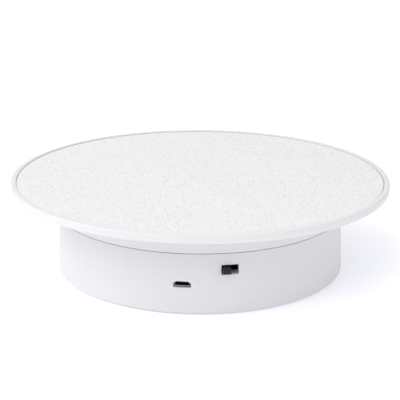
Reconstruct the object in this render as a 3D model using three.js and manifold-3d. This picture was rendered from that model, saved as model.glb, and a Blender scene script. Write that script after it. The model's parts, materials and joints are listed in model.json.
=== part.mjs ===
// Motorised turntable display stand: a platter with a textured mat turns on a drum-shaped base.
// A small motor drives the platter through a four-stage spur gearbox hung under the top cover. Four
// rollers carry the platter, and the base holds a micro-USB board, a slide switch and a battery box.
// Millimetres, +Z up. The origin is on the ground at the platter's axis, and the sockets face -Y.
import * as THREE from "three";
import { mergeVertices } from "three/addons/utils/BufferGeometryUtils.js";
import Module from "manifold-3d";

const wasm = await Module();
wasm.setup();

// ---------------------------------------------------------------- driving dimensions
const TOTAL_HEIGHT = 49.0; // ground to the top of the platter's rim
const ROUND_SEGMENTS = 60; // large turned parts
const SMALL_SEGMENTS = 12; // screws, pins and small bores
const FIT_GAP = 0.05; // faces that touch on the real object
const RUNNING_GAP = 0.3; // pieces that move past each other

const platter = {
  radius: 100,
  rimWidth: 2.8,
  rimHeight: 4.1,
  rimRound: 0.7,
  plateTop: TOTAL_HEIGHT - 1.65,
  plateThickness: 2.15,
  hubRadius: 6.8,
  hubBottom: 41.0,
  trackRadius: 60,
  trackWidth: 6,
  trackBottom: 44.0,
  ribs: 8,
  ribWidth: 1.4,
  ribHeight: 1.0,
  screwHead: 3.4,
  screwHeadHeight: 0.8,
  screwSeatRadius: 3.9,
  screwSeatDepth: 0.95,
};
const mat = { radius: 96.9, thickness: 0.95, edgeRound: 0.2, offset: -0.2 }; // laid a little to the left

const FOOT_DROP = 0.8; // the base's bottom edge stands this far above the ground
const base = {
  bottomRadius: 76.1,
  draft: 1.0 / 30.6, // the wall leans in by this much for each millimetre of height
  wall: 2.2,
  floorTop: 3.0,
  edgeRound: 0.9,
  seam: 31.4, // middle of the parting line
  seamGap: 0.3,
  lipHeight: 1.8,
  lipSetback: 1.15,
  rebate: 0.95, // how deep the cover's skirt is cut back for the lip
};
const cover = { roofTop: 42.6, roofThickness: 2.2, edgeRound: 1.6, hubHole: 8.0, bossRadius: 3.8 };
const MOULDED_OVERLAP = 0.5; // how far ribs, bosses and posts run into the wall they stand on
const foot = { radius: 5, recess: 0.45, ring: 64, count: 4, edge: 0.3, clearance: 0.3 };

const screwPost = { ring: 64, count: 4, firstAngle: 45, radius: 4.0, counterbore: 3.3, seat: 24 };
const screw = { shank: 1.3, hole: 1.45, passage: 1.7, head: 2.8, headHeight: 2.0 };
const coverScrew = { length: 13, holeTop: 38.5 };
const gearboxScrew = { length: 11.4, holeTop: 42.0 };

const roller = {
  radius: 5.5,
  width: 5,
  edge: 0.5,
  bore: 1.27,
  pin: 1.2,
  count: 4,
  pocketDepth: 6,
  clearance: 0.5,
  wall: 1.6,
};
const ROLLER_Z = platter.trackBottom - roller.radius - FIT_GAP;

// Gear train, from the output shaft at the centre back to the motor. A wheel and its pinion turn as
// one, and "heading" is the direction from the axis before it to this one, in degrees.
const PRESSURE_ANGLE = THREE.MathUtils.degToRad(25);
const ADDENDUM = 0.85; // of one module, and so is DEDENDUM
const DEDENDUM = 1.1;
const BACKLASH = 0.12;
const SMALLEST_WHEEL = 30; // teeth
const gearbox = {
  bottom: 25.4,
  floor: 1.6,
  lidBottom: 36.4,
  lidThickness: 1.6,
  wall: 1.5,
  clearance: 0.7,
  layers: [27.4, 30.4, 33.4],
  face: 2.6,
  earRadius: 4,
  earBottom: 30,
};
const train = {
  output: { wheelTeeth: 50, module: 0.7 },
  gear_3: { wheelTeeth: 40, wheelModule: 0.7, pinionTeeth: 10, pinionModule: 0.7, heading: 200 },
  gear_2: { wheelTeeth: 40, wheelModule: 0.7, pinionTeeth: 10, pinionModule: 0.7, heading: 285 },
  gear_1: { wheelTeeth: 40, wheelModule: 0.5, pinionTeeth: 10, pinionModule: 0.7, heading: 200 },
  motor: { pinionTeeth: 10, pinionModule: 0.5, heading: 150 },
};
const gearPin = { radius: 1.0, bore: 1.06, floor: 0.4 }; // floor is what is left under its blind hole
const outputShaft = {
  stub: 2.6, // the lower end, in the case's bearing
  shoulder: 5,
  journal: 3.5,
  dRadius: 3.0,
  dFlat: 2.4,
  dBottom: 39.0,
  top: 45.1,
  pilotDepth: 7,
};
const JOURNAL_PLAY = 0.09; // round a shaft that turns in its bearing
const END_PLAY = 0.2; // at each end of a gear on its pin
const motor = {
  radius: 12.2,
  height: 12.3,
  canThickness: 0.8,
  noseRadius: 3.1,
  noseHole: 3.6,
  noseHeight: 1.2,
  shaft: 1.0,
  screwRing: 8,
  screwHole: 1.2,
  capHeight: 2.0,
  lugX: 5,
  lugY: 6.65,
};
const gearboxEars = [
  [12.2, 20.8],
  [12.2, -20.8],
  [-44.0, -7.5],
];

const battery = {
  length: 58, // room along X, contacts included
  width: 45.5, // three cells side by side
  centreY: 24,
  ceiling: 18.2,
  wall: 2.4,
  rebate: 1.2,
  doorThickness: 1.8,
  doorGap: 0.2,
  tongueX: 11.5,
  cellPitch: 15.1,
  cellAxisZ: 10.4,
};
const contact = {
  thickness: 0.4,
  bottom: 4,
  top: 16.6,
  halfWidth: 5.5,
  clearance: 0.2, // to the battery box's end wall
  tabZ: 14.6, // underside of the solder tabs
  tabReach: 3.6,
  springRadius: 4.4,
  springTaper: 1.8,
  springLength: 6,
  springTurns: 3,
  springWire: 0.4,
};

const usb = {
  angle: -6.5,
  z: 15.67,
  width: 8.8,
  height: 3.2,
  chamfer: 1.3,
  shellRise: 0.3, // the socket sits this much above the opening's middle
  mouthSetback: 1.0, // from the drum's face to the socket's mouth
  shellDepth: 6.1,
  flareDepth: 0.5,
};
const board = {
  bottom: 17.3,
  width: 28,
  depth: 21,
  thickness: 1.2,
  front: 71,
  postRadius: 2.6,
  posts: [
    [-10.5, -53],
    [10.5, -53],
  ],
  screwHole: 1.3,
  pilot: 1.0,
};
const boardScrew = { length: 6, shank: 0.85, head: 2.0, headHeight: 1.3 };
const slideSwitch = {
  angle: 11.5,
  z: 23.1,
  windowWidth: 8.7,
  windowHeight: 4.9,
  tunnelEnd: 68.75,
  blockHalfWidth: 11,
  blockHalfHeight: 4.3,
  pocketHalfWidth: 6.8, // the hollow behind the window
  pocketRise: 3.4,
  knobWidth: 4.0,
  knobHeight: 3.0,
  knobStandout: 3.0,
  travel: 3.8,
  carriageHalfWidth: 4,
  carriageHalfHeight: 2.3,
  earSpacing: 8.4,
  earThickness: 0.6,
  pilot: 0.9,
};
const switchScrew = { length: 3.6, shank: 0.75, head: 1.8, headHeight: 1.1 };
const leadRadius = 0.6;

// ---------------------------------------------------------------- materials
const finish = (color, roughness, metalness) => {
  return new THREE.MeshStandardMaterial({ color, roughness, metalness });
};
const plastic = (color, roughness) => finish(color, roughness, 0);
const metal = (color, roughness = 0.35) => finish(color, roughness, 1);
const whiteShell = plastic(0xf0f0f4, 0.42);
const matSkin = plastic(0xf2f2f1, 0.8);
const gearPlastic = plastic(0xe9e6da, 0.5);
const gearboxPlastic = plastic(0xd9dbe0, 0.5);
const blackPlastic = plastic(0x1b1b1d, 0.4);
const rubber = plastic(0x4a4a4c, 0.9);
const boardGreen = plastic(0x1f6b3a, 0.5);
const steel = metal(0xc4c6ca);
const brass = metal(0xd8b25c);
const nickel = metal(0xd0d0cc, 0.3);
const redSleeve = plastic(0xb3231c, 0.5);
const blackSleeve = plastic(0x202022, 0.5);

// ---------------------------------------------------------------- solids
/** A closed three.js geometry as a manifold solid, with its shared vertices merged. */
function toSolid(geometry) {
  const loose = geometry.index ? geometry.toNonIndexed() : geometry;
  const bare = new THREE.BufferGeometry().setAttribute("position", loose.getAttribute("position"));
  const merged = mergeVertices(bare, 1e-4);
  const mesh = new wasm.Mesh({
    numProp: 3,
    vertProperties: merged.attributes.position.array,
    triVerts: new Uint32Array(merged.index.array),
  });
  return new wasm.Manifold(mesh);
}

/** A manifold solid as a three.js geometry. */
function toGeometry(solid) {
  const { numProp, numVert, vertProperties, triVerts } = solid.getMesh();
  const positions = new Float32Array(numVert * 3);
  for (let i = 0; i < numVert; i++) {
    positions.set(vertProperties.subarray(i * numProp, i * numProp + 3), i * 3);
  }
  const geometry = new THREE.BufferGeometry();
  geometry.setAttribute("position", new THREE.BufferAttribute(positions, 3));
  geometry.setIndex(new THREE.BufferAttribute(triVerts, 1));
  geometry.computeVertexNormals();
  return geometry;
}

const join = (...solids) => solids.reduce((whole, piece) => whole.add(piece));
const cut = (solid, ...tools) => tools.reduce((whole, tool) => whole.subtract(tool), solid);

/** A box between two corners. */
function box([x0, y0, z0], [x1, y1, z1]) {
  const geometry = new THREE.BoxGeometry(x1 - x0, y1 - y0, z1 - z0);
  return toSolid(geometry.translate((x0 + x1) / 2, (y0 + y1) / 2, (z0 + z1) / 2));
}

/** An upright cylinder standing on z0 and reaching z1. */
function post(radius, z0, z1, x = 0, y = 0, segments = SMALL_SEGMENTS) {
  const geometry = new THREE.CylinderGeometry(radius, radius, z1 - z0, segments);
  return toSolid(geometry.rotateX(Math.PI / 2).translate(x, y, (z0 + z1) / 2));
}

/** A turned solid: its profile of [radius, z] points meets the axis at both ends, or makes a ring. */
function turned(profile, segments = ROUND_SEGMENTS) {
  const points = profile.map(([r, z]) => new THREE.Vector2(r, z));
  if (THREE.ShapeUtils.area(points) < 0) points.reverse();
  const onAxis = points.some((p) => p.x === 0);
  while (onAxis && !(points[0].x === 0 && points.at(-1).x === 0)) points.push(points.shift());
  if (!onAxis) points.push(points[0].clone());
  return toSolid(new THREE.LatheGeometry(points, segments).rotateX(Math.PI / 2));
}

/** A flat outline of [x, y] points (or a THREE.Shape) raised from z0 to z1. */
function prism(outline, z0, z1) {
  const asShape = (points) => new THREE.Shape(points.map(([x, y]) => new THREE.Vector2(x, y)));
  const shape = Array.isArray(outline) ? asShape(outline) : outline;
  const options = { depth: z1 - z0, bevelEnabled: false, curveSegments: 8 };
  const geometry = new THREE.ExtrudeGeometry(shape, options);
  return toSolid(geometry.translate(0, 0, z0));
}

/** An outline in the XZ plane, raised along Y from y0 to y1: cut-outs and sockets in the drum's wall. */
function prismThroughWall(outline, y0, y1, z) {
  return prism(outline, -y1, -y0).rotate([90, 0, 0]).translate([0, 0, z]);
}

/** The same solid turned about the stand's axis. */
const turnedBy = (solid, degrees) => solid.rotate([0, 0, degrees]);

/** Points of a quarter round from one heading to another, in degrees, about a centre. */
function arc([cx, cz], radius, from, to, steps = 2) {
  return Array.from({ length: steps + 1 }, (_, i) => {
    const angle = THREE.MathUtils.degToRad(from + ((to - from) * i) / steps);
    return [cx + radius * Math.cos(angle), cz + radius * Math.sin(angle)];
  });
}

/** Places spread evenly round a ring, as [x, y, degrees]. */
function ring(radius, count, firstAngle = 0) {
  return Array.from({ length: count }, (_, i) => {
    const degrees = firstAngle + (360 * i) / count;
    const angle = THREE.MathUtils.degToRad(degrees);
    return [radius * Math.cos(angle), radius * Math.sin(angle), degrees];
  });
}

const outerRadius = (z) => base.bottomRadius - (z - FOOT_DROP) * base.draft;

// ---------------------------------------------------------------- the assembly
const stand = new THREE.Group();
stand.name = "turntable_display_stand";

/** Adds one named piece to a group. */
function piece(name, shape, material, parent = stand) {
  const geometry = shape.isBufferGeometry ? shape : toGeometry(shape);
  const mesh = new THREE.Mesh(geometry, material);
  mesh.name = name;
  parent.add(mesh);
  return mesh;
}

/** A group whose -Y axis points out of the drum at this angle from the front. */
function facingOut(degrees) {
  const group = new THREE.Group();
  group.rotation.z = THREE.MathUtils.degToRad(degrees);
  stand.add(group);
  return group;
}

// ---------------------------------------------------------------- platter
/** The moulded disc: raised rim, flat bed for the mat, roller track, ribs and keyed hub. */
function platterDisc() {
  const { radius, rimHeight, rimRound, hubRadius, hubBottom, plateTop, trackRadius, trackWidth } = platter;
  const bottom = TOTAL_HEIGHT - rimHeight;
  const plateBottom = plateTop - platter.plateThickness;
  const bed = radius - platter.rimWidth;
  const inner = trackRadius - trackWidth / 2;
  const outer = trackRadius + trackWidth / 2;
  const body = turned([
    [0, plateTop],
    [bed, plateTop],
    [bed, TOTAL_HEIGHT - 0.25],
    [bed + 0.25, TOTAL_HEIGHT],
    ...arc([radius - rimRound, TOTAL_HEIGHT - rimRound], rimRound, 90, 0),
    ...arc([radius - rimRound, bottom + rimRound], rimRound, 0, -90),
    [bed, bottom],
    [bed - 0.3, plateBottom],
    [outer, plateBottom],
    [outer, platter.trackBottom],
    [inner, platter.trackBottom],
    [inner, plateBottom],
    [hubRadius, plateBottom],
    [hubRadius, hubBottom],
    [0, hubBottom],
  ]);
  const halfRib = platter.ribWidth / 2;
  const ribBottom = plateBottom - platter.ribHeight;
  const ribTop = plateBottom + MOULDED_OVERLAP;
  const rib = join(
    box([hubRadius - 1, -halfRib, ribBottom], [inner + 1, halfRib, ribTop]),
    box([outer - 1, -halfRib, ribBottom], [bed - 1.5, halfRib, ribTop]),
  );
  const ribs = ring(0, platter.ribs, 180 / platter.ribs).map(([, , degrees]) => turnedBy(rib, degrees));
  const keyPlay = RUNNING_GAP / 2;
  const keyway = shaftSection(outputShaft.dRadius + keyPlay, outputShaft.dFlat + keyPlay);
  return cut(
    join(body, ...ribs),
    prism(keyway, hubBottom - 1, outputShaft.top + FIT_GAP),
    post(screw.passage, outputShaft.top - 1, plateTop + 1),
    post(platter.screwSeatRadius, plateTop - platter.screwSeatDepth, plateTop + 1, 0, 0, 24),
  );
}

/** The bonded mat on the platter's bed. */
function topMat() {
  const bottom = platter.plateTop + FIT_GAP;
  const top = bottom + mat.thickness;
  return turned([
    [0, bottom],
    [mat.radius, bottom],
    [mat.radius, top - mat.edgeRound],
    [mat.radius - mat.edgeRound, top],
    [0, top],
  ]);
}

/** A D-shaped shaft section: a circle with one flat side. */
function shaftSection(radius, flat) {
  const start = Math.acos(flat / radius);
  const shape = new THREE.Shape();
  shape.absarc(0, 0, radius, start, 2 * Math.PI - start, false);
  return shape;
}

/** A pan-head screw standing head down at z 0, its shank pointing up. */
function screwUp(length, { shank, head, headHeight } = screw) {
  return turned(
    [
      [0, -headHeight],
      [head * 0.72, -headHeight],
      [head, -headHeight * 0.55],
      [head, 0],
      [shank, 0],
      [shank, length - 2 * shank],
      [0, length],
    ],
    SMALL_SEGMENTS,
  );
}

// ---------------------------------------------------------------- gears
/**
 * The outline of a spur gear with one tooth centred on angle "phase". A wheel's flank is one straight
 * line, which lies inside the involute. A pinion's is bent at its pitch circle, as it curves more.
 */
function gearOutline(teeth, module, phase) {
  const pitch = (teeth * module) / 2;
  const baseCircle = pitch * Math.cos(PRESSURE_ANGLE);
  const tip = pitch + ADDENDUM * module;
  const root = pitch - DEDENDUM * module;
  const involute = (r) => {
    const angle = Math.acos(Math.min(1, baseCircle / r));
    return Math.tan(angle) - angle;
  };
  const halfToothAtPitch = Math.PI / (2 * teeth) - BACKLASH / (4 * pitch);
  const halfTooth = (r) => halfToothAtPitch + involute(pitch) - involute(Math.max(r, baseCircle));
  const flank = teeth > SMALLEST_WHEEL ? [root, tip] : [root, pitch - 0.1 * module, tip];
  const points = [];
  for (let tooth = 0; tooth < teeth; tooth++) {
    const centre = phase + (2 * Math.PI * tooth) / teeth;
    for (const r of flank) points.push([r, centre - halfTooth(r)]);
    for (const r of [...flank].reverse()) points.push([r, centre + halfTooth(r)]);
  }
  return points.map(([r, angle]) => [r * Math.cos(angle), r * Math.sin(angle)]);
}

/** The phase that puts a gear in mesh with the one before it, which lies at the given heading behind it. */
function meshedPhase(heading, teethBefore, phaseBefore, teeth) {
  return heading + Math.PI - (Math.PI - teethBefore * (heading - phaseBefore)) / teeth;
}

/** Works out where each axis of the train stands and how its teeth are turned so that they mesh. */
function laidOutTrain() {
  const axes = { output: { x: 0, y: 0, wheelPhase: 0 } };
  let before = { ...axes.output, wheelTeeth: train.output.wheelTeeth };
  let moduleBefore = train.output.module;
  for (const name of ["gear_3", "gear_2", "gear_1", "motor"]) {
    const gear = train[name];
    const heading = THREE.MathUtils.degToRad(gear.heading);
    const distance = (moduleBefore * (before.wheelTeeth + gear.pinionTeeth)) / 2;
    const pinionPhase = meshedPhase(heading, before.wheelTeeth, before.wheelPhase, gear.pinionTeeth);
    const axis = {
      x: before.x + distance * Math.cos(heading),
      y: before.y + distance * Math.sin(heading),
      pinionPhase,
      wheelPhase: pinionPhase,
    };
    axes[name] = axis;
    before = { ...axis, wheelTeeth: gear.wheelTeeth };
    moduleBefore = gear.wheelModule;
  }
  return axes;
}
const axes = laidOutTrain();

/** A wheel and pinion moulded as one, with a bore for its pin, about the local Z axis. */
function compoundGear(name, wheelLayer, pinionBottom, pinionTop) {
  const { wheelTeeth, wheelModule, pinionTeeth, pinionModule } = train[name];
  const wheelBottom = gearbox.layers[wheelLayer];
  const wheelOutline = gearOutline(wheelTeeth, wheelModule, axes[name].wheelPhase);
  const pinionOutline = gearOutline(pinionTeeth, pinionModule, axes[name].pinionPhase);
  const wheel = prism(wheelOutline, wheelBottom, wheelBottom + gearbox.face);
  const pinion = prism(pinionOutline, pinionBottom, pinionTop);
  const hubRadius = (pinionTeeth * pinionModule) / 2 - DEDENDUM * pinionModule;
  const core = post(hubRadius, gearbox.layers[0] - END_PLAY, gearbox.lidBottom - END_PLAY);
  const bore = post(gearPin.bore, 0, 50);
  return cut(join(wheel, pinion, core), bore);
}

/** The last wheel with its stepped shaft, which ends in the platter's keyed hub. */
function outputGear() {
  const { wheelTeeth, module } = train.output;
  const { journal, stub, shoulder, dRadius, dFlat, dBottom, top, pilotDepth } = outputShaft;
  const wheelBottom = gearbox.layers[0];
  const shoulderTop = gearbox.lidBottom - RUNNING_GAP;
  const shaft = turned(
    [
      [0, gearbox.bottom + END_PLAY],
      [stub, gearbox.bottom + END_PLAY],
      [stub, wheelBottom - END_PLAY],
      [shoulder, wheelBottom - END_PLAY],
      [shoulder, shoulderTop],
      [journal, shoulderTop],
      [journal, dBottom],
      [0, dBottom],
    ],
    24,
  );
  const keyed = prism(shaftSection(dRadius, dFlat), dBottom - 1, top);
  const outline = gearOutline(wheelTeeth, module, axes.output.wheelPhase);
  const wheel = prism(outline, wheelBottom, wheelBottom + gearbox.face);
  const pilot = post(screw.hole, top - pilotDepth, top + 1);
  return cut(join(shaft, wheel, keyed), pilot);
}

/** The motor's brass pinion on its shaft. */
function motorPinion() {
  const { pinionTeeth, pinionModule } = train.motor;
  const bottom = gearbox.layers[0] - 0.1;
  const outline = gearOutline(pinionTeeth, pinionModule, axes.motor.pinionPhase);
  return join(
    prism(outline, bottom, bottom + gearbox.face + 0.3),
    post(motor.shaft, gearbox.bottom - motor.height, bottom + 1),
  );
}

// ---------------------------------------------------------------- gearbox
const tipRadius = (teeth, module) => (teeth * module) / 2 + ADDENDUM * module;

/** The circles that the gearbox encloses, as [x, y, room the gear needs]. */
const pinnedGears = ["gear_1", "gear_2", "gear_3"];
const gearCircles = [
  [axes.output.x, axes.output.y, tipRadius(train.output.wheelTeeth, train.output.module)],
  ...pinnedGears.map((name) => [
    axes[name].x,
    axes[name].y,
    tipRadius(train[name].wheelTeeth, train[name].wheelModule),
  ]),
  [axes.motor.x, axes.motor.y, motor.radius - gearbox.wall],
];

/** Overlapping discs over every gear, grown by a margin. */
function gearboxDiscs(margin, z0, z1) {
  return join(...gearCircles.map(([x, y, r]) => post(r + margin, z0, z1, x, y, 24)));
}

const pinHoles = (z0, z1) => {
  return pinnedGears.map((name) => post(gearPin.bore, z0, z1, axes[name].x, axes[name].y));
};
const earPosts = (radius, z0, z1) => gearboxEars.map(([x, y]) => post(radius, z0, z1, x, y));
const motorScrewPlaces = [90, 210].map((degrees) => {
  const angle = THREE.MathUtils.degToRad(degrees);
  return [axes.motor.x + motor.screwRing * Math.cos(angle), axes.motor.y + motor.screwRing * Math.sin(angle)];
});

/** The open-topped case that holds the gear pins and carries the motor under its floor. */
function gearboxCase() {
  const { bottom, floor, lidBottom, wall, clearance, earRadius, earBottom } = gearbox;
  const top = lidBottom - FIT_GAP;
  const body = join(gearboxDiscs(clearance + wall, bottom, top), ...earPosts(earRadius, earBottom, top));
  return cut(
    body,
    gearboxDiscs(clearance, bottom + floor, lidBottom + 1),
    ...earPosts(screw.passage, earBottom - 1, lidBottom + 1),
    ...pinHoles(bottom + gearPin.floor, lidBottom + 1),
    post(outputShaft.stub + RUNNING_GAP, bottom - 1, lidBottom, axes.output.x, axes.output.y),
    post(motor.noseHole, bottom - 1, lidBottom, axes.motor.x, axes.motor.y),
    ...motorScrewPlaces.map(([x, y]) => post(motor.screwHole, bottom - 1, lidBottom, x, y)),
  );
}

/** The flat lid, with the output shaft's bearing collar. */
function gearboxLid() {
  const { lidBottom, lidThickness, wall, clearance } = gearbox;
  const top = lidBottom + lidThickness;
  const body = join(
    gearboxDiscs(clearance + wall, lidBottom, top),
    ...earPosts(gearbox.earRadius, lidBottom, top),
  );
  return cut(
    body,
    ...earPosts(screw.passage, lidBottom - 1, top + 1),
    ...pinHoles(lidBottom - 1, top - gearPin.floor),
    post(outputShaft.journal + JOURNAL_PLAY, lidBottom - 1, top + 1, 0, 0, 24),
  );
}

/** The motor's steel can, hollow at the back where its end cap sits. */
function motorCan() {
  const top = gearbox.bottom - FIT_GAP;
  const bottom = top - motor.height;
  const { radius, canThickness, noseRadius, noseHeight, capHeight } = motor;
  const bore = motor.shaft + JOURNAL_PLAY;
  return turned(
    [
      [bore, top + noseHeight],
      [noseRadius, top + noseHeight],
      [noseRadius, top],
      [radius - canThickness, top],
      [radius, top - canThickness],
      [radius, bottom],
      [radius - canThickness, bottom],
      [radius - canThickness, bottom + capHeight],
      [bore, bottom + capHeight],
    ],
    24,
  );
}

/** The plastic cap in the back of the motor, with its two solder lugs. */
function motorEndCap() {
  const bottom = gearbox.bottom - FIT_GAP - motor.height;
  const { radius, canThickness, capHeight, shaft, lugX, lugY } = motor;
  const cap = post(radius - canThickness - RUNNING_GAP, bottom + 0.1, bottom + capHeight - 0.1, 0, 0, 24);
  const lug = box([-1.2, lugY - 0.25, bottom - 2.2], [1.2, lugY + 0.25, bottom + 0.6]);
  const lugs = [-lugX, lugX].map((x) => lug.translate([x, 0, 0]));
  return cut(join(cap, ...lugs), post(shaft + JOURNAL_PLAY, bottom - 1, bottom + 4));
}

// ---------------------------------------------------------------- top cover
/** The upper housing: drafted skirt, flat roof, hub hole, roller pockets and screw bosses. */
function topCover() {
  const { roofTop, roofThickness, edgeRound, hubHole } = cover;
  const bottom = base.seam + base.seamGap / 2;
  const roofBottom = roofTop - roofThickness;
  const rebateTop = bottom + base.lipHeight + RUNNING_GAP;
  const outer = outerRadius;
  const shell = turned([
    [hubHole, roofTop],
    ...arc([outer(roofTop) - edgeRound, roofTop - edgeRound], edgeRound, 90, 0),
    [outer(bottom), bottom],
    [outer(bottom) - base.rebate, bottom],
    [outer(rebateTop) - base.rebate, rebateTop],
    [outer(rebateTop) - base.wall, rebateTop],
    [outer(roofBottom) - base.wall, roofBottom],
    [hubHole, roofBottom],
  ]);
  const room = { along: roller.radius + roller.clearance, across: roller.width / 2 + roller.clearance };
  const pocket = { along: room.along + roller.wall, across: room.across + roller.wall };
  const bossTop = roofBottom + MOULDED_OVERLAP;
  const additions = [];
  const cuts = [];
  for (const [x, y, degrees] of ring(platter.trackRadius, roller.count)) {
    const place = (solid) => solid.rotate([0, 0, degrees]).translate([x, y, 0]);
    const pocketBottom = roofBottom - roller.pocketDepth;
    const walls = box([-pocket.across, -pocket.along, pocketBottom], [pocket.across, pocket.along, bossTop]);
    additions.push(place(walls));
    cuts.push(
      place(box([-room.across, -room.along, pocketBottom - 1], [room.across, room.along, roofTop + 1])),
      place(post(roller.pin + 0.1, -10, 10).rotate([0, 90, 0]).translate([0, 0, ROLLER_Z])),
    );
  }
  for (const [x, y] of ring(screwPost.ring, screwPost.count, screwPost.firstAngle)) {
    additions.push(post(cover.bossRadius, bottom, bossTop, x, y));
    cuts.push(post(screw.hole, bottom - 1, coverScrew.holeTop, x, y));
  }
  const lidTop = gearbox.lidBottom + gearbox.lidThickness;
  for (const [x, y] of gearboxEars) {
    additions.push(post(cover.bossRadius, lidTop + FIT_GAP, bossTop, x, y));
    cuts.push(post(screw.hole, gearbox.lidBottom, gearboxScrew.holeTop, x, y));
  }
  return cut(join(shell, ...additions), ...cuts);
}

/** A roller with its bore, turning about the local X axis. */
function supportRoller() {
  const { radius, width, bore, edge } = roller;
  const halfWidth = width / 2;
  const profile = [
    [bore, -halfWidth],
    [radius - edge, -halfWidth],
    [radius, -halfWidth + edge],
    [radius, halfWidth - edge],
    [radius - edge, halfWidth],
    [bore, halfWidth],
  ];
  return turned(profile, 20).rotate([0, 90, 0]);
}

// ---------------------------------------------------------------- base shell
/** Outline of the micro-USB opening, wide at the bottom and chamfered at its top corners. */
function usbOutline(width, height, chamfer = usb.chamfer) {
  const w = width / 2;
  const h = height / 2;
  const corner = 0.5;
  return [
    [-w + corner, -h],
    [w - corner, -h],
    [w, -h + corner],
    [w, h - chamfer],
    [w - chamfer, h],
    [-w + chamfer, h],
    [-w, h - chamfer],
    [-w, -h + corner],
  ];
}

/** A rectangular outline about the local origin. */
function rectangle(width, height) {
  const w = width / 2;
  const h = height / 2;
  return [
    [-w, -h],
    [w, -h],
    [w, h],
    [-w, h],
  ];
}

const batteryEdges = {
  x: battery.length / 2,
  front: battery.centreY - battery.width / 2,
  back: battery.centreY + battery.width / 2,
};
const cellRows = [-1, 0, 1].map((row) => battery.centreY + row * battery.cellPitch);
const negativeRow = cellRows[0];
const positiveRow = cellRows[2];

/** The walls and ceiling of the battery box, as part of the base. */
function batteryBox() {
  const { x, front, back } = batteryEdges;
  const { wall, ceiling } = battery;
  return box([-x - wall, front - wall, FOOT_DROP + 0.2], [x + wall, back + wall, ceiling + 1.6]);
}

/** What the battery box is cut out with: its room, the door's rebate, and slots for tongues and tabs. */
function batteryCuts() {
  const { x, front, back } = batteryEdges;
  const { rebate, ceiling, doorThickness, doorGap, wall, tongueX } = battery;
  const rebateTop = FOOT_DROP + doorThickness + doorGap;
  const tongueSlot = box([-4, back, 1.2], [4, back + wall + 0.3, 4.2]);
  const tongueSlots = [-tongueX, tongueX].map((middle) => tongueSlot.translate([middle, 0, 0]));
  const tabSlot = (x0, x1, y) => box([x0, y - 1.4, contact.tabZ - 0.3], [x1, y + 1.4, contact.tabZ + 0.7]);
  return [
    tabSlot(-x - wall - 1, 1 - x, negativeRow),
    tabSlot(x - 1, x + wall + 1, positiveRow),
    box([-x, front, -1], [x, back, ceiling]),
    box([-x - rebate, front - rebate, -1], [x + rebate, back + rebate, rebateTop]),
    ...tongueSlots,
  ];
}

/** A tool for the hollow behind the switch window, flush with its sill, that the knob's stem crosses. */
function switchPocket() {
  const { z, tunnelEnd, windowHeight, pocketHalfWidth, pocketRise } = slideSwitch;
  const front = base.wall - outerRadius(z);
  const back = 1 - tunnelEnd;
  return box([-pocketHalfWidth, front, z - windowHeight / 2], [pocketHalfWidth, back, z + pocketRise]);
}

/** The lower housing: drafted wall with the two openings, floor, battery box and screw posts. */
function baseShell() {
  const { wall, floorTop, edgeRound, seam, seamGap, lipHeight, lipSetback } = base;
  const top = seam - seamGap / 2;
  const lipTop = top + lipHeight;
  const outer = outerRadius;
  const shell = turned([
    [0, FOOT_DROP],
    ...arc([outer(FOOT_DROP) - edgeRound, FOOT_DROP + edgeRound], edgeRound, -90, 0),
    [outer(top), top],
    [outer(top) - lipSetback, top],
    [outer(lipTop) - lipSetback, lipTop],
    [outer(lipTop) - wall, lipTop],
    [outer(floorTop) - wall, floorTop],
    [0, floorTop],
  ]);
  const postBottom = floorTop - MOULDED_OVERLAP;
  const { z, angle, tunnelEnd, blockHalfWidth, blockHalfHeight, windowWidth, windowHeight } = slideSwitch;
  const blockFront = base.wall - MOULDED_OVERLAP - outerRadius(z);
  const switchBlock = box(
    [-blockHalfWidth, blockFront, z - blockHalfHeight],
    [blockHalfWidth, -tunnelEnd, z + blockHalfHeight],
  );
  const postTop = board.bottom - FIT_GAP;
  const boardPosts = board.posts.map(([x, y]) => post(board.postRadius, postBottom, postTop, x, y));
  const screwPosts = ring(screwPost.ring, screwPost.count, screwPost.firstAngle);
  const additions = screwPosts.map(([x, y]) => post(screwPost.radius, postBottom, top, x, y));
  const windowCut = prismThroughWall(rectangle(windowWidth, windowHeight), -90, -60, z);
  const usbCut = prismThroughWall(usbOutline(usb.width, usb.height), -90, -70, usb.z);
  const lyingPilot = post(slideSwitch.pilot, 0, 4.2).rotate([90, 0, 0]);
  const switchPilots = [-1, 1].map((side) => {
    return lyingPilot.translate([side * slideSwitch.earSpacing, 1 - tunnelEnd, z]);
  });
  return cut(
    join(
      shell,
      turnedBy(switchBlock, angle),
      batteryBox(),
      ...boardPosts.map((solid) => turnedBy(solid, usb.angle)),
      ...additions,
    ),
    ...[windowCut, switchPocket(), ...switchPilots].map((tool) => turnedBy(tool, angle)),
    turnedBy(usbCut, usb.angle),
    ...batteryCuts(),
    ...board.posts.map(([x, y]) => turnedBy(post(board.pilot, 10, 20, x, y), usb.angle)),
    ...screwPosts.map(([x, y]) => post(screwPost.counterbore, -1, screwPost.seat, x, y)),
    ...screwPosts.map(([x, y]) => post(screw.passage, 0, top + 1, x, y)),
    ...ring(foot.ring, foot.count).map(([x, y]) =>
      post(foot.radius + foot.clearance, -1, FOOT_DROP + foot.recess, x, y, 24),
    ),
  );
}

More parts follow.
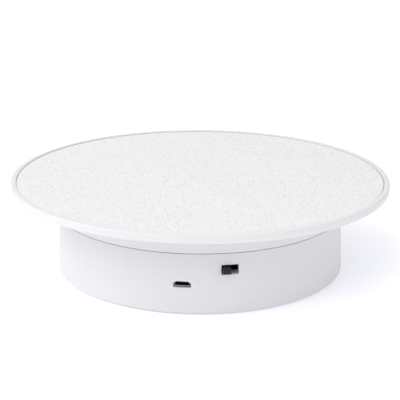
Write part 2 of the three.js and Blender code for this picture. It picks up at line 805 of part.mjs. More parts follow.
/** The battery door: two hinge tongues at its back edge, a sprung latch and a finger grip at the front. */
function batteryDoor() {
  const { x, front, back } = batteryEdges;
  const bottom = FOOT_DROP;
  const top = bottom + battery.doorThickness;
  const reach = battery.rebate - battery.doorGap;
  const plate = box([-x - reach, front - reach, bottom], [x + reach, back + reach, top]);
  const tongues = [-1, 1].map((side) => {
    const middle = side * battery.tongueX;
    return box([middle - 3, back, 1.5], [middle + 3, back + 2.1, 2.5]);
  });
  const latch = prism(
    [
      [0, 0],
      [1.3, 0],
      [1.3, 3.6],
      [0.5, 3.6],
      [0, 2.4],
    ],
    -4,
    4,
  )
    .rotate([90, 0, 90])
    .translate([0, front + 0.7, top - 0.1]);
  const grip = post(9, -1, bottom + 0.7, 0, front - 4.5, 24);
  const groove = box([-6, front, bottom - 1], [6, front + 0.7, bottom + 0.4]);
  const grooves = [2.2, 3.8, 5.4].map((y) => groove.translate([0, y, 0]));
  return cut(join(plate, ...tongues, latch), grip, ...grooves);
}

/**
 * A contact strip standing on end across the battery box, with a spring or a raised button for each
 * cell, and a solder tab through the wall where a lead joins it.
 */
function contactStrip(cells, tabAt = null) {
  const { thickness, bottom, top, halfWidth, tabZ, tabReach } = contact;
  const rows = cells.map(([y]) => y);
  const near = Math.min(...rows) - halfWidth;
  const far = Math.max(...rows) + halfWidth;
  const strip = box([0, near, bottom], [thickness, far, top]);
  const fittings = cells.map(([y, kind]) => (kind === "spring" ? contactSpring(y) : contactButton(y)));
  if (tabAt !== null) {
    fittings.push(box([-tabReach, tabAt - 1, tabZ], [thickness / 2, tabAt + 1, tabZ + thickness]));
  }
  return join(strip, ...fittings);
}

/** A pressed button that meets a cell's positive cap. */
function contactButton(y) {
  const button = turned(
    [
      [0, 0],
      [3.2, 0],
      [2.4, 1.1],
      [0, 1.1],
    ],
    12,
  );
  return button.rotate([0, 90, 0]).translate([contact.thickness / 2, y, battery.cellAxisZ]);
}

/** A conical spring wound towards the cell. */
function contactSpring(y) {
  const { springTurns, springRadius, springTaper, springLength, springWire, thickness } = contact;
  const steps = springTurns * 8;
  const points = Array.from({ length: steps + 1 }, (_, i) => {
    const share = i / steps;
    const angle = share * springTurns * 2 * Math.PI;
    const radius = springRadius - springTaper * share;
    const rise = thickness + 0.1 + springLength * share;
    const [aside, up] = [radius * Math.cos(angle), radius * Math.sin(angle)];
    return new THREE.Vector3(rise, y + aside, battery.cellAxisZ + up);
  });
  return wire(points, springWire, steps, 4);
}

/** A round wire along a smooth path through the points. */
function wire(points, radius, steps, sides = 6) {
  const section = new THREE.Shape();
  for (let i = 0; i < sides; i++) {
    const angle = (2 * Math.PI * i) / sides;
    const [x, y] = [radius * Math.cos(angle), radius * Math.sin(angle)];
    if (i === 0) section.moveTo(x, y);
    else section.lineTo(x, y);
  }
  const path = new THREE.CatmullRomCurve3(points, false, "centripetal");
  return toSolid(new THREE.ExtrudeGeometry(section, { steps, extrudePath: path }));
}

// ---------------------------------------------------------------- electronics
const socketZ = usb.z + usb.shellRise;
const socketMouth = usb.mouthSetback - outerRadius(usb.z);
const socketBack = socketMouth + usb.shellDepth;

/** The micro-USB socket's folded steel shell, with its flared mouth. */
function usbShell() {
  const outside = prismThroughWall(usbOutline(7.6, 2.45, 1.1), socketMouth, socketBack, socketZ);
  const flareEnd = socketMouth + usb.flareDepth;
  const flare = prismThroughWall(usbOutline(7.8, 2.55, 1.15), socketMouth, flareEnd, socketZ);
  const inside = prismThroughWall(usbOutline(7.0, 1.95, 0.95), socketMouth - 1, socketBack + 1, socketZ);
  return cut(join(outside, flare), inside);
}

/** The socket's plastic insert: a block that closes the back, and the contact tongue. */
function usbInsert() {
  const block = prismThroughWall(usbOutline(6.8, 1.75, 0.8), socketBack - 1.4, socketBack - 0.1, socketZ);
  const tongue = box([-2.2, socketMouth + 1.1, socketZ + 0.1], [2.2, socketBack - 1, socketZ + 0.75]);
  return join(block, tongue);
}

/** The circuit board, with its mounting holes. */
function circuitBoard() {
  const { bottom, width, depth, thickness, front, posts, screwHole } = board;
  const sheet = box([-width / 2, -front, bottom], [width / 2, depth - front, bottom + thickness]);
  return cut(sheet, ...posts.map(([x, y]) => post(screwHole, bottom - 1, bottom + 3, x, y)));
}

/** The driver chip, a small moulded body with a row of legs on each side. */
function driverChip() {
  const bottom = board.bottom + board.thickness + FIT_GAP;
  const legPitch = 1.27;
  const legHalfWidth = 0.2;
  const body = box([-2.5, -63, bottom + 0.2], [2.5, -59.1, bottom + 1.7]);
  const legs = [-1.5, -0.5, 0.5, 1.5].map((step) => {
    const x = step * legPitch;
    return box([x - legHalfWidth, -64.1, bottom], [x + legHalfWidth, -58, bottom + 0.5]);
  });
  return join(body, ...legs);
}

/** The electrolytic capacitor, upright on the board, with its crimped groove near the foot. */
function capacitor() {
  const bottom = board.bottom + board.thickness + FIT_GAP;
  const radius = 2.5;
  const height = 7.1;
  const groove = 0.2;
  const bevel = 0.3;
  return turned(
    [
      [0, bottom],
      [radius, bottom],
      [radius, bottom + 0.9],
      [radius - groove, bottom + 1.2],
      [radius, bottom + 1.5],
      [radius, bottom + height - bevel],
      [radius - bevel, bottom + height],
      [0, bottom + height],
    ],
    16,
  );
}

/** The slide switch's moulded body: two ears, a box open towards the window, and three pins. */
function switchBody() {
  const { tunnelEnd, z, earSpacing, earThickness } = slideSwitch;
  const front = FIT_GAP - tunnelEnd;
  const shell = box([-6.5, front, z - 3.4], [6.5, front + 5, z + 3.4]);
  const ears = box([-10.6, front, z - 3.0], [10.6, front + earThickness, z + 3.0]);
  const room = box([-6.0, front - 1, z - 2.6], [6.0, front + 4, z + 2.6]);
  const lyingHole = post(1.15, -2, 2).rotate([90, 0, 0]);
  const holes = [-1, 1].map((side) => lyingHole.translate([side * earSpacing, front, z]));
  const pins = [-4, 0, 4].map((x) => box([x - 0.4, front + 4.5, z - 0.5], [x + 0.4, front + 8, z - 0.1]));
  return cut(join(shell, ears, ...pins), room, ...holes);
}

/** The sliding knob and the carriage it stands on. */
function switchKnob() {
  const { tunnelEnd, knobWidth, knobHeight, knobStandout, z } = slideSwitch;
  const { carriageHalfWidth, carriageHalfHeight } = slideSwitch;
  const tip = -outerRadius(z) - knobStandout;
  const w = knobWidth / 2;
  const h = knobHeight / 2;
  const stem = box([-w, tip, z - h], [w, 1.5 - tunnelEnd, z + h]);
  const carriage = box(
    [-carriageHalfWidth, 0.4 - tunnelEnd, z - carriageHalfHeight],
    [carriageHalfWidth, 2.2 - tunnelEnd, z + carriageHalfHeight],
  );
  return join(stem, carriage);
}

/** The flat ribbon from the switch to the board. */
function switchRibbon(points) {
  const section = new THREE.Shape();
  section.moveTo(-0.4, -1.8);
  section.lineTo(0.4, -1.8);
  section.lineTo(0.4, 1.8);
  section.lineTo(-0.4, 1.8);
  const path = new THREE.CatmullRomCurve3(points, false, "centripetal");
  return toSolid(new THREE.ExtrudeGeometry(section, { steps: 12, extrudePath: path }));
}

// ---------------------------------------------------------------- putting it together
function addPlatter() {
  piece("platter_disc", platterDisc(), whiteShell);
  piece("top_mat", topMat(), matSkin).position.x = mat.offset;
  const { screwHead, screwHeadHeight, screwSeatDepth, plateTop } = platter;
  const flatScrew = screwUp(8, { shank: screw.shank, head: screwHead, headHeight: screwHeadHeight });
  const centreScrew = piece("platter_screw", flatScrew, steel);
  centreScrew.rotation.x = Math.PI;
  centreScrew.position.z = plateTop - screwSeatDepth + FIT_GAP;
}

function addHousing() {
  piece("top_cover", topCover(), whiteShell);
  piece("base_shell", baseShell(), whiteShell);
  piece("battery_door", batteryDoor(), whiteShell);
  ring(screwPost.ring, screwPost.count, screwPost.firstAngle).forEach(([x, y], i) => {
    const fastener = piece(`cover_screw_${i + 1}`, screwUp(coverScrew.length), steel);
    fastener.position.set(x, y, screwPost.seat - FIT_GAP);
  });
  ring(foot.ring, foot.count).forEach(([x, y], i) => {
    const top = FOOT_DROP + foot.recess - FIT_GAP;
    const pad = turned(
      [
        [0, 0],
        [foot.radius - foot.edge, 0],
        [foot.radius, foot.edge],
        [foot.radius, top],
        [0, top],
      ],
      20,
    );
    piece(`foot_pad_${i + 1}`, pad, rubber).position.set(x, y, 0);
  });
}

function addRollers() {
  ring(platter.trackRadius, roller.count).forEach(([x, y, degrees], i) => {
    const station = new THREE.Group();
    station.position.set(x, y, ROLLER_Z);
    station.rotation.z = THREE.MathUtils.degToRad(degrees);
    stand.add(station);
    piece(`support_roller_${i + 1}`, supportRoller(), gearPlastic, station);
    const halfPin = roller.width / 2 + roller.clearance + roller.wall - END_PLAY;
    const pin = post(roller.pin, -halfPin, halfPin).rotate([0, 90, 0]);
    piece(`roller_pin_${i + 1}`, pin, steel, station);
  });
}

function addDrive() {
  const [low, middle, high] = gearbox.layers;
  const { face } = gearbox;
  piece("output_gear", outputGear(), gearPlastic);
  const shapes = {
    gear_3: compoundGear("gear_3", 1, low, middle + 0.1),
    gear_2: compoundGear("gear_2", 2, middle, high + 0.1),
    gear_1: compoundGear("gear_1", 0, low + face - 0.1, high + face),
  };
  for (const [name, shape] of Object.entries(shapes)) {
    const { x, y } = axes[name];
    piece(name, shape, gearPlastic).position.set(x, y, 0);
    const pinInset = gearPin.floor + 0.1;
    const pinTop = gearbox.lidBottom + gearbox.lidThickness - pinInset;
    const pin = post(gearPin.radius, gearbox.bottom + pinInset, pinTop);
    piece(name.replace("gear", "gear_pin"), pin, steel).position.set(x, y, 0);
  }
  piece("gearbox_case", gearboxCase(), gearboxPlastic);
  piece("gearbox_lid", gearboxLid(), gearboxPlastic);
  gearboxEars.forEach(([x, y], i) => {
    const fastener = piece(`gearbox_screw_${i + 1}`, screwUp(gearboxScrew.length), steel);
    fastener.position.set(x, y, gearbox.earBottom - FIT_GAP);
  });
  const { x, y } = axes.motor;
  piece("motor_can", motorCan(), steel).position.set(x, y, 0);
  piece("motor_end_cap", motorEndCap(), blackPlastic).position.set(x, y, 0);
  piece("motor_pinion", motorPinion(), brass).position.set(x, y, 0);
}

function addBatteryContacts() {
  const x = batteryEdges.x - contact.clearance;
  const [first, second, third] = cellRows;
  const leftEnd = (name, cells, tabAt) => {
    piece(name, contactStrip(cells, tabAt), nickel).position.x = -x;
  };
  const rightEnd = (name, cells, tabAt = null) => {
    const turnedRound = cells.map(([y, kind]) => [-y, kind]);
    const strip = piece(name, contactStrip(turnedRound, tabAt), nickel);
    strip.position.x = x;
    strip.rotation.z = Math.PI;
  };
  const bridgeLeft = [
    [second, "button"],
    [third, "spring"],
  ];
  const bridgeRight = [
    [first, "button"],
    [second, "spring"],
  ];
  leftEnd("contact_negative", [[first, "spring"]], negativeRow);
  leftEnd("contact_bridge_left", bridgeLeft);
  rightEnd("contact_bridge_right", bridgeRight);
  rightEnd("contact_positive", [[third, "button"]], -positiveRow);
}

function addElectronics() {
  const front = facingOut(usb.angle);
  piece("circuit_board", circuitBoard(), boardGreen, front);
  piece("usb_shell", usbShell(), nickel, front);
  piece("usb_insert", usbInsert(), blackPlastic, front);
  piece("driver_chip", driverChip(), blackPlastic, front);
  piece("capacitor", capacitor(), blackSleeve, front).position.set(-8, -64, 0);
  board.posts.forEach(([x, y], i) => {
    const fastener = piece(`board_screw_${i + 1}`, screwUp(boardScrew.length, boardScrew), steel, front);
    fastener.rotation.x = Math.PI;
    fastener.position.set(x, y, board.bottom + board.thickness + FIT_GAP);
  });
  const side = facingOut(slideSwitch.angle);
  const { travel, earSpacing, earThickness, tunnelEnd, z } = slideSwitch;
  piece("switch_body", switchBody(), blackPlastic, side);
  piece("switch_knob", switchKnob(), blackPlastic, side).position.x = -travel / 2;
  [-1, 1].forEach((end, i) => {
    const fastener = piece(`switch_screw_${i + 1}`, screwUp(switchScrew.length, switchScrew), steel, side);
    fastener.rotation.x = Math.PI / 2;
    fastener.position.set(end * earSpacing, earThickness + 2 * FIT_GAP - tunnelEnd, z);
  });
}

/** A point given in the board's frame, which is turned with the socket. */
function onBoard(x, y, rise) {
  const point = new THREE.Vector3(x, y, board.bottom + board.thickness + rise);
  return point.applyAxisAngle(new THREE.Vector3(0, 0, 1), THREE.MathUtils.degToRad(usb.angle));
}

/** The leads inside the base, each along its own route, from a lug or a solder tab to the board. */
function addWiring() {
  const at = (x, y, z) => new THREE.Vector3(x, y, z);
  const lead = (name, material, points) => {
    piece(name, wire(points, leadRadius, 4 * (points.length - 1)), material);
  };
  const joint = leadRadius + 0.15; // a lead's axis above the board where it is soldered
  const { x, y } = axes.motor;
  const lugY = y + motor.lugY;
  const lugZ = gearbox.bottom - motor.height - 3.0;
  lead("wire_motor_red", redSleeve, [
    at(x - motor.lugX, lugY, lugZ),
    at(x - 4, y - 4, 7),
    at(-38, -45, 8),
    at(-27, -56, 17),
    onBoard(-15, -60, 3),
    onBoard(-12, -60, joint),
  ]);
  lead("wire_motor_black", blackSleeve, [
    at(x + motor.lugX, lugY, lugZ),
    at(x + 6, y - 4, 6),
    at(-31, -42, 7),
    at(-25, -51, 16),
    onBoard(-15, -57, 3),
    onBoard(-12.5, -57, joint),
  ]);
  const tabX = batteryEdges.x + contact.tabReach - contact.clearance;
  const tabTop = contact.tabZ + contact.thickness + joint + 0.1;
  lead("wire_battery_black", blackSleeve, [
    at(-tabX, negativeRow, tabTop),
    at(-34.5, 2, 12),
    at(-26, -8, 9),
    at(-13, -32, 11),
    onBoard(-3, -47, 3),
    onBoard(-4, -54, joint),
  ]);
  lead("wire_battery_red", redSleeve, [
    at(tabX, positiveRow, tabTop),
    at(36.5, 28, 12),
    at(37, 4, 9),
    at(24, -12, 9),
    at(6, -36, 11),
    onBoard(2, -47, 3),
    onBoard(2, -54, joint),
  ]);
  const ribbonRoute = [
    at(12.3, -58.8, 22.9),
    at(10.8, -55.2, 23.6),
    at(7.6, -55.2, 22.2),
    onBoard(11.8, -58.4, 2.2),
  ];
  piece("ribbon_switch", switchRibbon(ribbonRoute), blackSleeve);
}

addPlatter();
addHousing();
addRollers();
addDrive();
addBatteryContacts();
addElectronics();
addWiring();

export default stand;
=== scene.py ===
"""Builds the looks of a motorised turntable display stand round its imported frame.

The file is laid out as an add-on and is run as a script. Every size is in metres, in the frame's own axes:
+Z is up and -Y points to the side with the power port and the switch.
"""

import json
import math

import bpy
import numpy as np
from bpy.props import FloatProperty, FloatVectorProperty, PointerProperty
from bpy.types import Operator, Panel, PropertyGroup
from mathutils import Matrix, Vector


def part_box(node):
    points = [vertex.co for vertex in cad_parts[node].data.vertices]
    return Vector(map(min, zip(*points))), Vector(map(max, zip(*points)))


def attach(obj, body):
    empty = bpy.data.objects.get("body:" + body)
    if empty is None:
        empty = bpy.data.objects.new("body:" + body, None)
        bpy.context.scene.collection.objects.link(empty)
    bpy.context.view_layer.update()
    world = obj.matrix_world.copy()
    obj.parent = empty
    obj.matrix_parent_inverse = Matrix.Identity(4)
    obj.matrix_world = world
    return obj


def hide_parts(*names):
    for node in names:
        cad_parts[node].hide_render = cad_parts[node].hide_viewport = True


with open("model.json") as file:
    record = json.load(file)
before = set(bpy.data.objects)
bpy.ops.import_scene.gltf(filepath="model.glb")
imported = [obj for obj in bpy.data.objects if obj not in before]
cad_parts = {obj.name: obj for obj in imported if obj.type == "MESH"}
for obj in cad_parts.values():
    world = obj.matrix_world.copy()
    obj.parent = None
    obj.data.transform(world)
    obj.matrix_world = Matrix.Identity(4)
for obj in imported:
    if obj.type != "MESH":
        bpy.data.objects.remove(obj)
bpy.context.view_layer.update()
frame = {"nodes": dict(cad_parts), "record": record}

bl_info = {
    "name": "Turntable display stand",
    "version": (1, 0, 0),
    "blender": (4, 5, 0),
    "location": "View3D > Sidebar > Turntable",
    "description": "Builds a motorised display turntable piece by piece round its mechanical frame",
    "category": "Add Mesh",
}

MM = 0.001


# ---- Sizes worked out from the frame ----
def low(node):
    """The lowest corner of a frame node."""
    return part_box(node)[0]


def high(node):
    """The highest corner of a frame node."""
    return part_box(node)[1]


def middle(node):
    """The centre of a frame node's box."""
    return (low(node) + high(node)) / 2


def bearing(node):
    """The angle of a node's centre about the stand's axis in radians, from the front round to the right."""
    centre = middle(node)
    return math.atan2(centre.x, -centre.y)


FIT_GAP = 0.05 * MM
LET_IN = 0.5 * MM  # how far bosses, posts and blocks run into the wall they stand on

PLATTER_RADIUS = high("platter_disc").x
PLATTER_TOP = high("platter_disc").z
HUB_BOTTOM = low("platter_disc").z
MAT_RADIUS = (high("top_mat").x - low("top_mat").x) / 2
MAT_BOTTOM = low("top_mat").z
MAT_TOP = high("top_mat").z
BED_TOP = MAT_BOTTOM - FIT_GAP
BED_RADIUS = MAT_RADIUS + 0.3 * MM
RIM_HEIGHT = 4.1 * MM
PLATE_BOTTOM = BED_TOP - 2.15 * MM
TRACK_RADIUS = middle("support_roller_1").x
TRACK_INSIDE = TRACK_RADIUS - 3 * MM
TRACK_OUTSIDE = TRACK_RADIUS + 3 * MM
TRACK_BOTTOM = high("support_roller_1").z + FIT_GAP

DRUM_BOTTOM = low("base_shell").z
DRUM_RADIUS = high("base_shell").x
COVER_BOTTOM = low("top_cover").z
COVER_TOP = high("top_cover").z
COVER_RADIUS = high("top_cover").x
DRAFT = (DRUM_RADIUS - COVER_RADIUS) / (COVER_BOTTOM - DRUM_BOTTOM)
SEAM_GAP = 0.3 * MM
DRUM_TOP = COVER_BOTTOM - SEAM_GAP
WALL = 2.2 * MM
FLOOR_TOP = DRUM_BOTTOM + WALL
ROOF_BOTTOM = COVER_TOP - WALL
LIP_TOP = high("base_shell").z
LIP_SETBACK = 1.15 * MM
PILOT_RADIUS = 1.45 * MM
COVER_SCREW_HEAD = 2.0 * MM

PORT_BEARING = bearing("usb_shell")
PORT_HEIGHT = middle("usb_shell").z
PORT_RISE = 0.3 * MM  # of the socket above the middle of its opening
PORT_SETBACK = 1.0 * MM
SWITCH_BEARING = (bearing("switch_screw_1") + bearing("switch_screw_2")) / 2
SWITCH_HEIGHT = middle("switch_body").z
TUNNEL_END = 68.75 * MM
WINDOW_WIDTH = 8.7 * MM
WINDOW_HEIGHT = 4.9 * MM
POCKET_HALF_WIDTH = 6.8 * MM
POCKET_RISE = 3.4 * MM
KNOB_WIDTH = 4.0 * MM
KNOB_HEIGHT = 3.0 * MM
KNOB_STANDOUT = 3.0 * MM
KNOB_OFFSET = -1.9 * MM  # half its travel to the left of the window's middle

CONTACT_FACE = high("contact_positive").x
BAY_X = CONTACT_FACE + 0.2 * MM
DOOR_LOW = low("battery_door")
DOOR_HIGH = high("battery_door")
DOOR_TOP = DOOR_LOW.z + 1.8 * MM
DOOR_GAP = 0.2 * MM
REBATE = 1.2 * MM
BAY_FRONT = DOOR_LOW.y + REBATE - DOOR_GAP
BAY_BACK = BAY_FRONT + 45.5 * MM
BAY_CEILING = 18.2 * MM
BAY_WALL = 2.4 * MM
TONGUE_X = 11.5 * MM
TAB_BOTTOM = 14.6 * MM

ROUND_STEPS = 240  # once round a large turned piece
EDGE_STEPS = 4  # points across a pillow's rounded edge
SHARP = 0.01 * MM  # the smallest radius of a pillow's outline, so that its corner points stay apart
SEAM_TURN = math.radians(2.3)  # how far a cylinder is turned, so that its edges lie on no other edge
BODIES = frame["record"]["behaviour"]["bodies"]
BODY_OF_NODE = {node: body for body, nodes in BODIES.items() for node in nodes}


def drum_radius(z):
    """The drafted wall's outer radius at a height."""
    return DRUM_RADIUS - (z - DRUM_BOTTOM) * DRAFT


# ---- What a user may change ----
def colour_property(name, description, default):
    """A colour in linear light."""
    settings = {"subtype": "COLOR", "size": 3, "min": 0, "max": 1}
    return FloatVectorProperty(name=name, description=description, default=default, **settings)


def length_property(name, description, default):
    """A length that the user interface shows in the scene's units."""
    settings = {"unit": "LENGTH", "precision": 5, "min": 0}
    return FloatProperty(name=name, description=description, default=default, **settings)


def strength_property(name, description, default, unit="NONE"):
    """The strength of a light, in watts where its unit is POWER."""
    return FloatProperty(name=name, description=description, default=default, unit=unit, min=0)


class TurntableSizes(PropertyGroup):
    """Edge rounding and surface grain of the stand."""

    rim_round: length_property("Rim rounding", "Radius of the platter rim's outer edges", 0.8 * MM)
    seam_round: length_property("Seam rounding", "Radius of the edges along the parting line", 0.1 * MM)
    foot_edge_round: length_property("Foot edge rounding", "Radius of the drum's bottom edge", 0.9 * MM)
    grain_pitch: length_property("Mat grain", "Distance between creases of the mat's grain", 0.55 * MM)
    grain_depth: length_property("Grain depth", "Height of the mat's grain", 0.05 * MM)


class TurntableColours(PropertyGroup):
    """Colours of the pieces that show."""

    shell: colour_property("Shell", "Moulded plastic of the platter and drum", (0.775, 0.767, 0.765))
    mat: colour_property("Mat", "Grained skin on the platter", (0.80, 0.785, 0.77))
    knob: colour_property("Knob", "Black plastic of the switch", (0.011, 0.0105, 0.010))
    floor: colour_property("Floor", "Plain floor under the stand", (0.95, 0.955, 0.99))


class TurntableLights(PropertyGroup):
    """Strength of the studio lights."""

    sky: strength_property("Sky", "Brightness of the even light from straight above", 1.08)
    horizon: strength_property("Horizon", "Brightness of the even light from the sides", 0.15)
    key: strength_property("Key", "Power of the large lamp high at the left", 10, "POWER")
    front: strength_property("Front", "Power of the lamp above the camera", 9, "POWER")
    fill: strength_property("Fill", "Power of the low bluish lamp at the left", 2.0, "POWER")
    side: strength_property("Side", "Power of the low pinkish lamp at the right", 1.6, "POWER")
    table: strength_property("Table", "Own glow of the floor, as on a light table", 0.24)


# ---- Shader sums ----
class Value:
    """A shader socket that takes part in Python sums. Each operator adds one Math node."""

    def __init__(self, shader, socket):
        self.shader = shader
        self.socket = socket

    def sum(self, operation, *terms):
        """The output of one Math node."""
        inputs = dict(enumerate(terms))
        return self.shader.node("ShaderNodeMath", {"operation": operation}, inputs)["Value"]

    def __add__(self, other):
        return self.sum("ADD", self, other)

    def __sub__(self, other):
        return self.sum("SUBTRACT", self, other)

    def __rsub__(self, other):
        return self.sum("SUBTRACT", other, self)

    def __mul__(self, other):
        return self.sum("MULTIPLY", self, other)

    __radd__ = __add__
    __rmul__ = __mul__

    def sine(self):
        """The sine of the value in radians."""
        return self.sum("SINE", self)

    def between(self, start, end):
        """0 below start and 1 above end, with a smooth step between them. Start may be the larger one."""
        settings = {"interpolation_type": "SMOOTHSTEP"}
        inputs = {"Value": self, "From Min": start, "From Max": end}
        return self.shader.node("ShaderNodeMapRange", settings, inputs)["Result"]


class Outputs:
    """The output sockets of one node, picked by name."""

    def __init__(self, shader, node):
        self.shader = shader
        self.outputs = node.outputs

    def __getitem__(self, name):
        return Value(self.shader, self.outputs[name])


class Nodes:
    """A node tree whose nodes are all made by one method."""

    def __init__(self, tree):
        self.tree = tree

    def node(self, kind, settings=None, inputs=None):
        """One node: its settings first, then the values or links of its sockets."""
        made = self.tree.nodes.new(kind)
        for name, value in (settings or {}).items():
            setattr(made, name, value)
        for socket, value in (inputs or {}).items():
            self.feed(made.inputs[socket], value)
        return Outputs(self, made)

    def feed(self, socket, value):
        """Links a socket to a value, or sets its number or colour."""
        if isinstance(value, Value):
            self.tree.links.new(value.socket, socket)
        elif socket.type == "RGBA":
            socket.default_value = (*value[:3], 1)
        else:
            socket.default_value = value


class Shader(Nodes):
    """One material on a Principled surface."""

    def __init__(self, name, **constants):
        self.material = bpy.data.materials.new(name)
        self.material.use_nodes = True
        super().__init__(self.material.node_tree)
        self.surface = self.tree.nodes["Principled BSDF"]
        self.object_place = self.node("ShaderNodeTexCoord")["Object"]
        for socket, value in constants.items():
            self.set(socket.replace("_", " "), value)

    def set(self, name, value):
        """Feeds one socket of the Principled surface."""
        self.feed(self.surface.inputs[name], value)

    def stretched(self, scale):
        """The object's own coordinates, scaled on each axis."""
        inputs = {"Vector": self.object_place, "Scale": scale}
        return self.node("ShaderNodeMapping", {"vector_type": "POINT"}, inputs)["Vector"]

    def noise(self, size, detail=2.0, place=None):
        """Cloudy noise around 0.5 whose blotches are about this size in metres."""
        inputs = {"Vector": place or self.object_place, "Scale": 1 / size, "Detail": detail}
        return self.node("ShaderNodeTexNoise", {"noise_dimensions": "3D"}, inputs)["Fac"]

    def pebbles(self, size, place):
        """Distance from the middle of the nearest of a field of soft cells of this size in metres."""
        inputs = {"Vector": place, "Scale": 1 / size}
        return self.node("ShaderNodeTexVoronoi", {"feature": "SMOOTH_F1"}, inputs)["Distance"]

    def mix(self, factor, first, second):
        """A colour that goes from first to second as the factor goes from 0 to 1."""
        made = self.tree.nodes.new("ShaderNodeMix")
        made.data_type = "RGBA"
        colours = [socket for socket in made.inputs if socket.type == "RGBA"]
        self.feed(made.inputs[0], factor)
        self.feed(colours[0], first)
        self.feed(colours[1], second)
        return Value(self, next(socket for socket in made.outputs if socket.type == "RGBA"))

    def relief(self, height, depth):
        """Turns a height from 0 to 1 into a surface relief of this depth in metres."""
        inputs = {"Height": height * (depth / MM), "Distance": MM, "Strength": 1.0}
        self.set("Normal", self.node("ShaderNodeBump", {}, inputs)["Normal"])

    def xyz(self):
        """The three object coordinates as separate values."""
        parts = self.node("ShaderNodeSeparateXYZ", {}, {"Vector": self.object_place})
        return parts["X"], parts["Y"], parts["Z"]


def shade(colour, factor):
    """A colour made darker or lighter by one factor."""
    return tuple(min(1.0, part * factor) for part in colour)


# ---- Finishes ----
def moulded_plastic(name, colour, roughness, grain=0.35 * MM, depth=0.006 * MM, gloss=0.5):
    """Injection-moulded plastic: fine spark-eroded grain, faint flow clouds, and a little uneven sheen."""
    shader = Shader(name, IOR=1.49, Specular_IOR_Level=gloss)
    clouds = shader.noise(38 * MM, 3)
    specks = shader.noise(grain, 2)
    smudges = shader.noise(9 * MM, 4)
    tone = (clouds - 0.5) * 0.6 + (specks - 0.5) * 0.5 + 0.5
    shader.set("Base Color", shader.mix(tone, shade(colour, 0.975), shade(colour, 1.02)))
    shader.set("Roughness", roughness + (smudges - 0.5) * 0.14 + (specks - 0.5) * 0.08)
    shader.relief(specks, depth)
    return shader.material


def grained_skin(name, colour, pitch, depth):
    """Embossed sheet: creases between pebbles that are drawn out along one direction, with painted shade in
    the creases and a painted highlight on the ridges.
    """
    shader = Shader(name, IOR=1.45)
    wander = shader.noise(pitch * 3, 2)
    place = shader.stretched((1.0, 0.16, 1.0))
    pebbles = shader.pebbles(pitch, place)
    fibres = shader.noise(pitch * 0.55, 3, place)
    height = (1 - pebbles) * 0.55 + fibres * 0.6 + wander * 0.25
    # 0 in the creases and 1 on the ridges: it lowers the roughness and also carries the painted crease shade
    #                                       and ridge highlight
    crease = (height - 0.35).between(0.0, 0.6)
    wear = shader.noise(30 * MM, 3)
    # painted shade: the creases' colour, darker than the mat; painted highlight: the ridges' colour, lighter
    # than the mat
    crease_shade_colour = shade(colour, 0.86)
    light = shade(colour, 1.07)
    shader.set("Base Color", shader.mix(crease * 0.9 + (wear - 0.5) * 0.15, crease_shade_colour, light))
    shader.set("Roughness", 0.78 - crease * 0.12)
    shader.relief(height, depth)
    return shader.material


def satin_metal(name, colour, roughness, stroke=(1.0, 1.0, 0.04)):
    """Plated or drawn metal: fine strokes along one axis, a mottled plating tone and a few dull patches."""
    shader = Shader(name, Metallic=1.0)
    strokes = shader.noise(0.12 * MM, 3, shader.stretched(stroke))
    mottle = shader.noise(2.2 * MM, 4)
    dull = shader.noise(7 * MM, 3).between(0.55, 0.75)
    plating = mottle * 0.7 + dull * 0.3
    shader.set("Base Color", shader.mix(plating, shade(colour, 0.86), shade(colour, 1.06)))
    shader.set("Roughness", roughness + (strokes - 0.5) * 0.25 + dull * 0.12)
    shader.relief(strokes, 0.004 * MM)
    return shader.material


def soft_rubber(name, colour):
    """Dull rubber with a dusty bloom and a coarse moulded grain."""
    shader = Shader(name, IOR=1.5)
    grain = shader.noise(0.5 * MM, 3)
    dust = shader.noise(3 * MM, 4).between(0.45, 0.75)
    shader.set("Base Color", shader.mix(dust, colour, shade(colour, 1.9)))
    shader.set("Roughness", 0.82 + (grain - 0.5) * 0.2)
    shader.relief(grain, 0.02 * MM)
    return shader.material


def solder_mask(name, colour, copper):
    """Circuit board: tracks under green lacquer on a fine glass weave."""
    shader = Shader(name, Coat_Weight=0.4)
    x, y, _ = shader.xyz()
    thread = 2 * math.pi / (0.4 * MM)
    track_pitch = 2 * math.pi / (2.1 * MM)
    weave = (x * thread).sine() * (y * thread).sine()
    across = ((x + y * 0.11) * track_pitch).sine()
    broken = shader.noise(4 * MM, 0).between(0.46, 0.5)
    track = across.between(0.72, 0.82) * broken
    shader.set("Base Color", shader.mix(track, colour, copper))
    shader.set("Roughness", 0.36 + weave * 0.05)
    shader.relief(track * 0.8 + weave * 0.1, 0.03 * MM)
    return shader.material


def wire_sleeve(name, colour):
    """Extruded insulation: faint drawing lines and small scuffs."""
    shader = Shader(name, IOR=1.5)
    lines = shader.noise(0.15 * MM, 2, shader.stretched((1, 1, 0.2)))
    scuffs = shader.noise(1.5 * MM, 4).between(0.5, 0.8)
    shader.set("Base Color", shader.mix(scuffs, colour, shade(colour, 1.35)))
    shader.set("Roughness", 0.42 + scuffs * 0.2)
    shader.relief(lines, 0.01 * MM)
    return shader.material


def studio_floor(name, colour, glow):
    """Plain pale paper, which is clear from below so that the stand's underside can be looked at."""
    shader = Shader(name, Roughness=0.9, Emission_Color=colour, Emission_Strength=glow)
    fibre = shader.noise(1.2 * MM, 2)
    shader.set("Base Color", shader.mix(fibre, shade(colour, 0.995), colour))
    seen_from_below = shader.node("ShaderNodeNewGeometry")["Backfacing"]
    clear = shader.node("ShaderNodeBsdfTransparent")["BSDF"]
    output = shader.tree.nodes["Material Output"]
    paper = Value(shader, shader.surface.outputs["BSDF"])
    mixed = shader.node("ShaderNodeMixShader", {}, {0: seen_from_below, 1: paper, 2: clear})["Shader"]
    shader.feed(output.inputs["Surface"], mixed)
    return shader.material


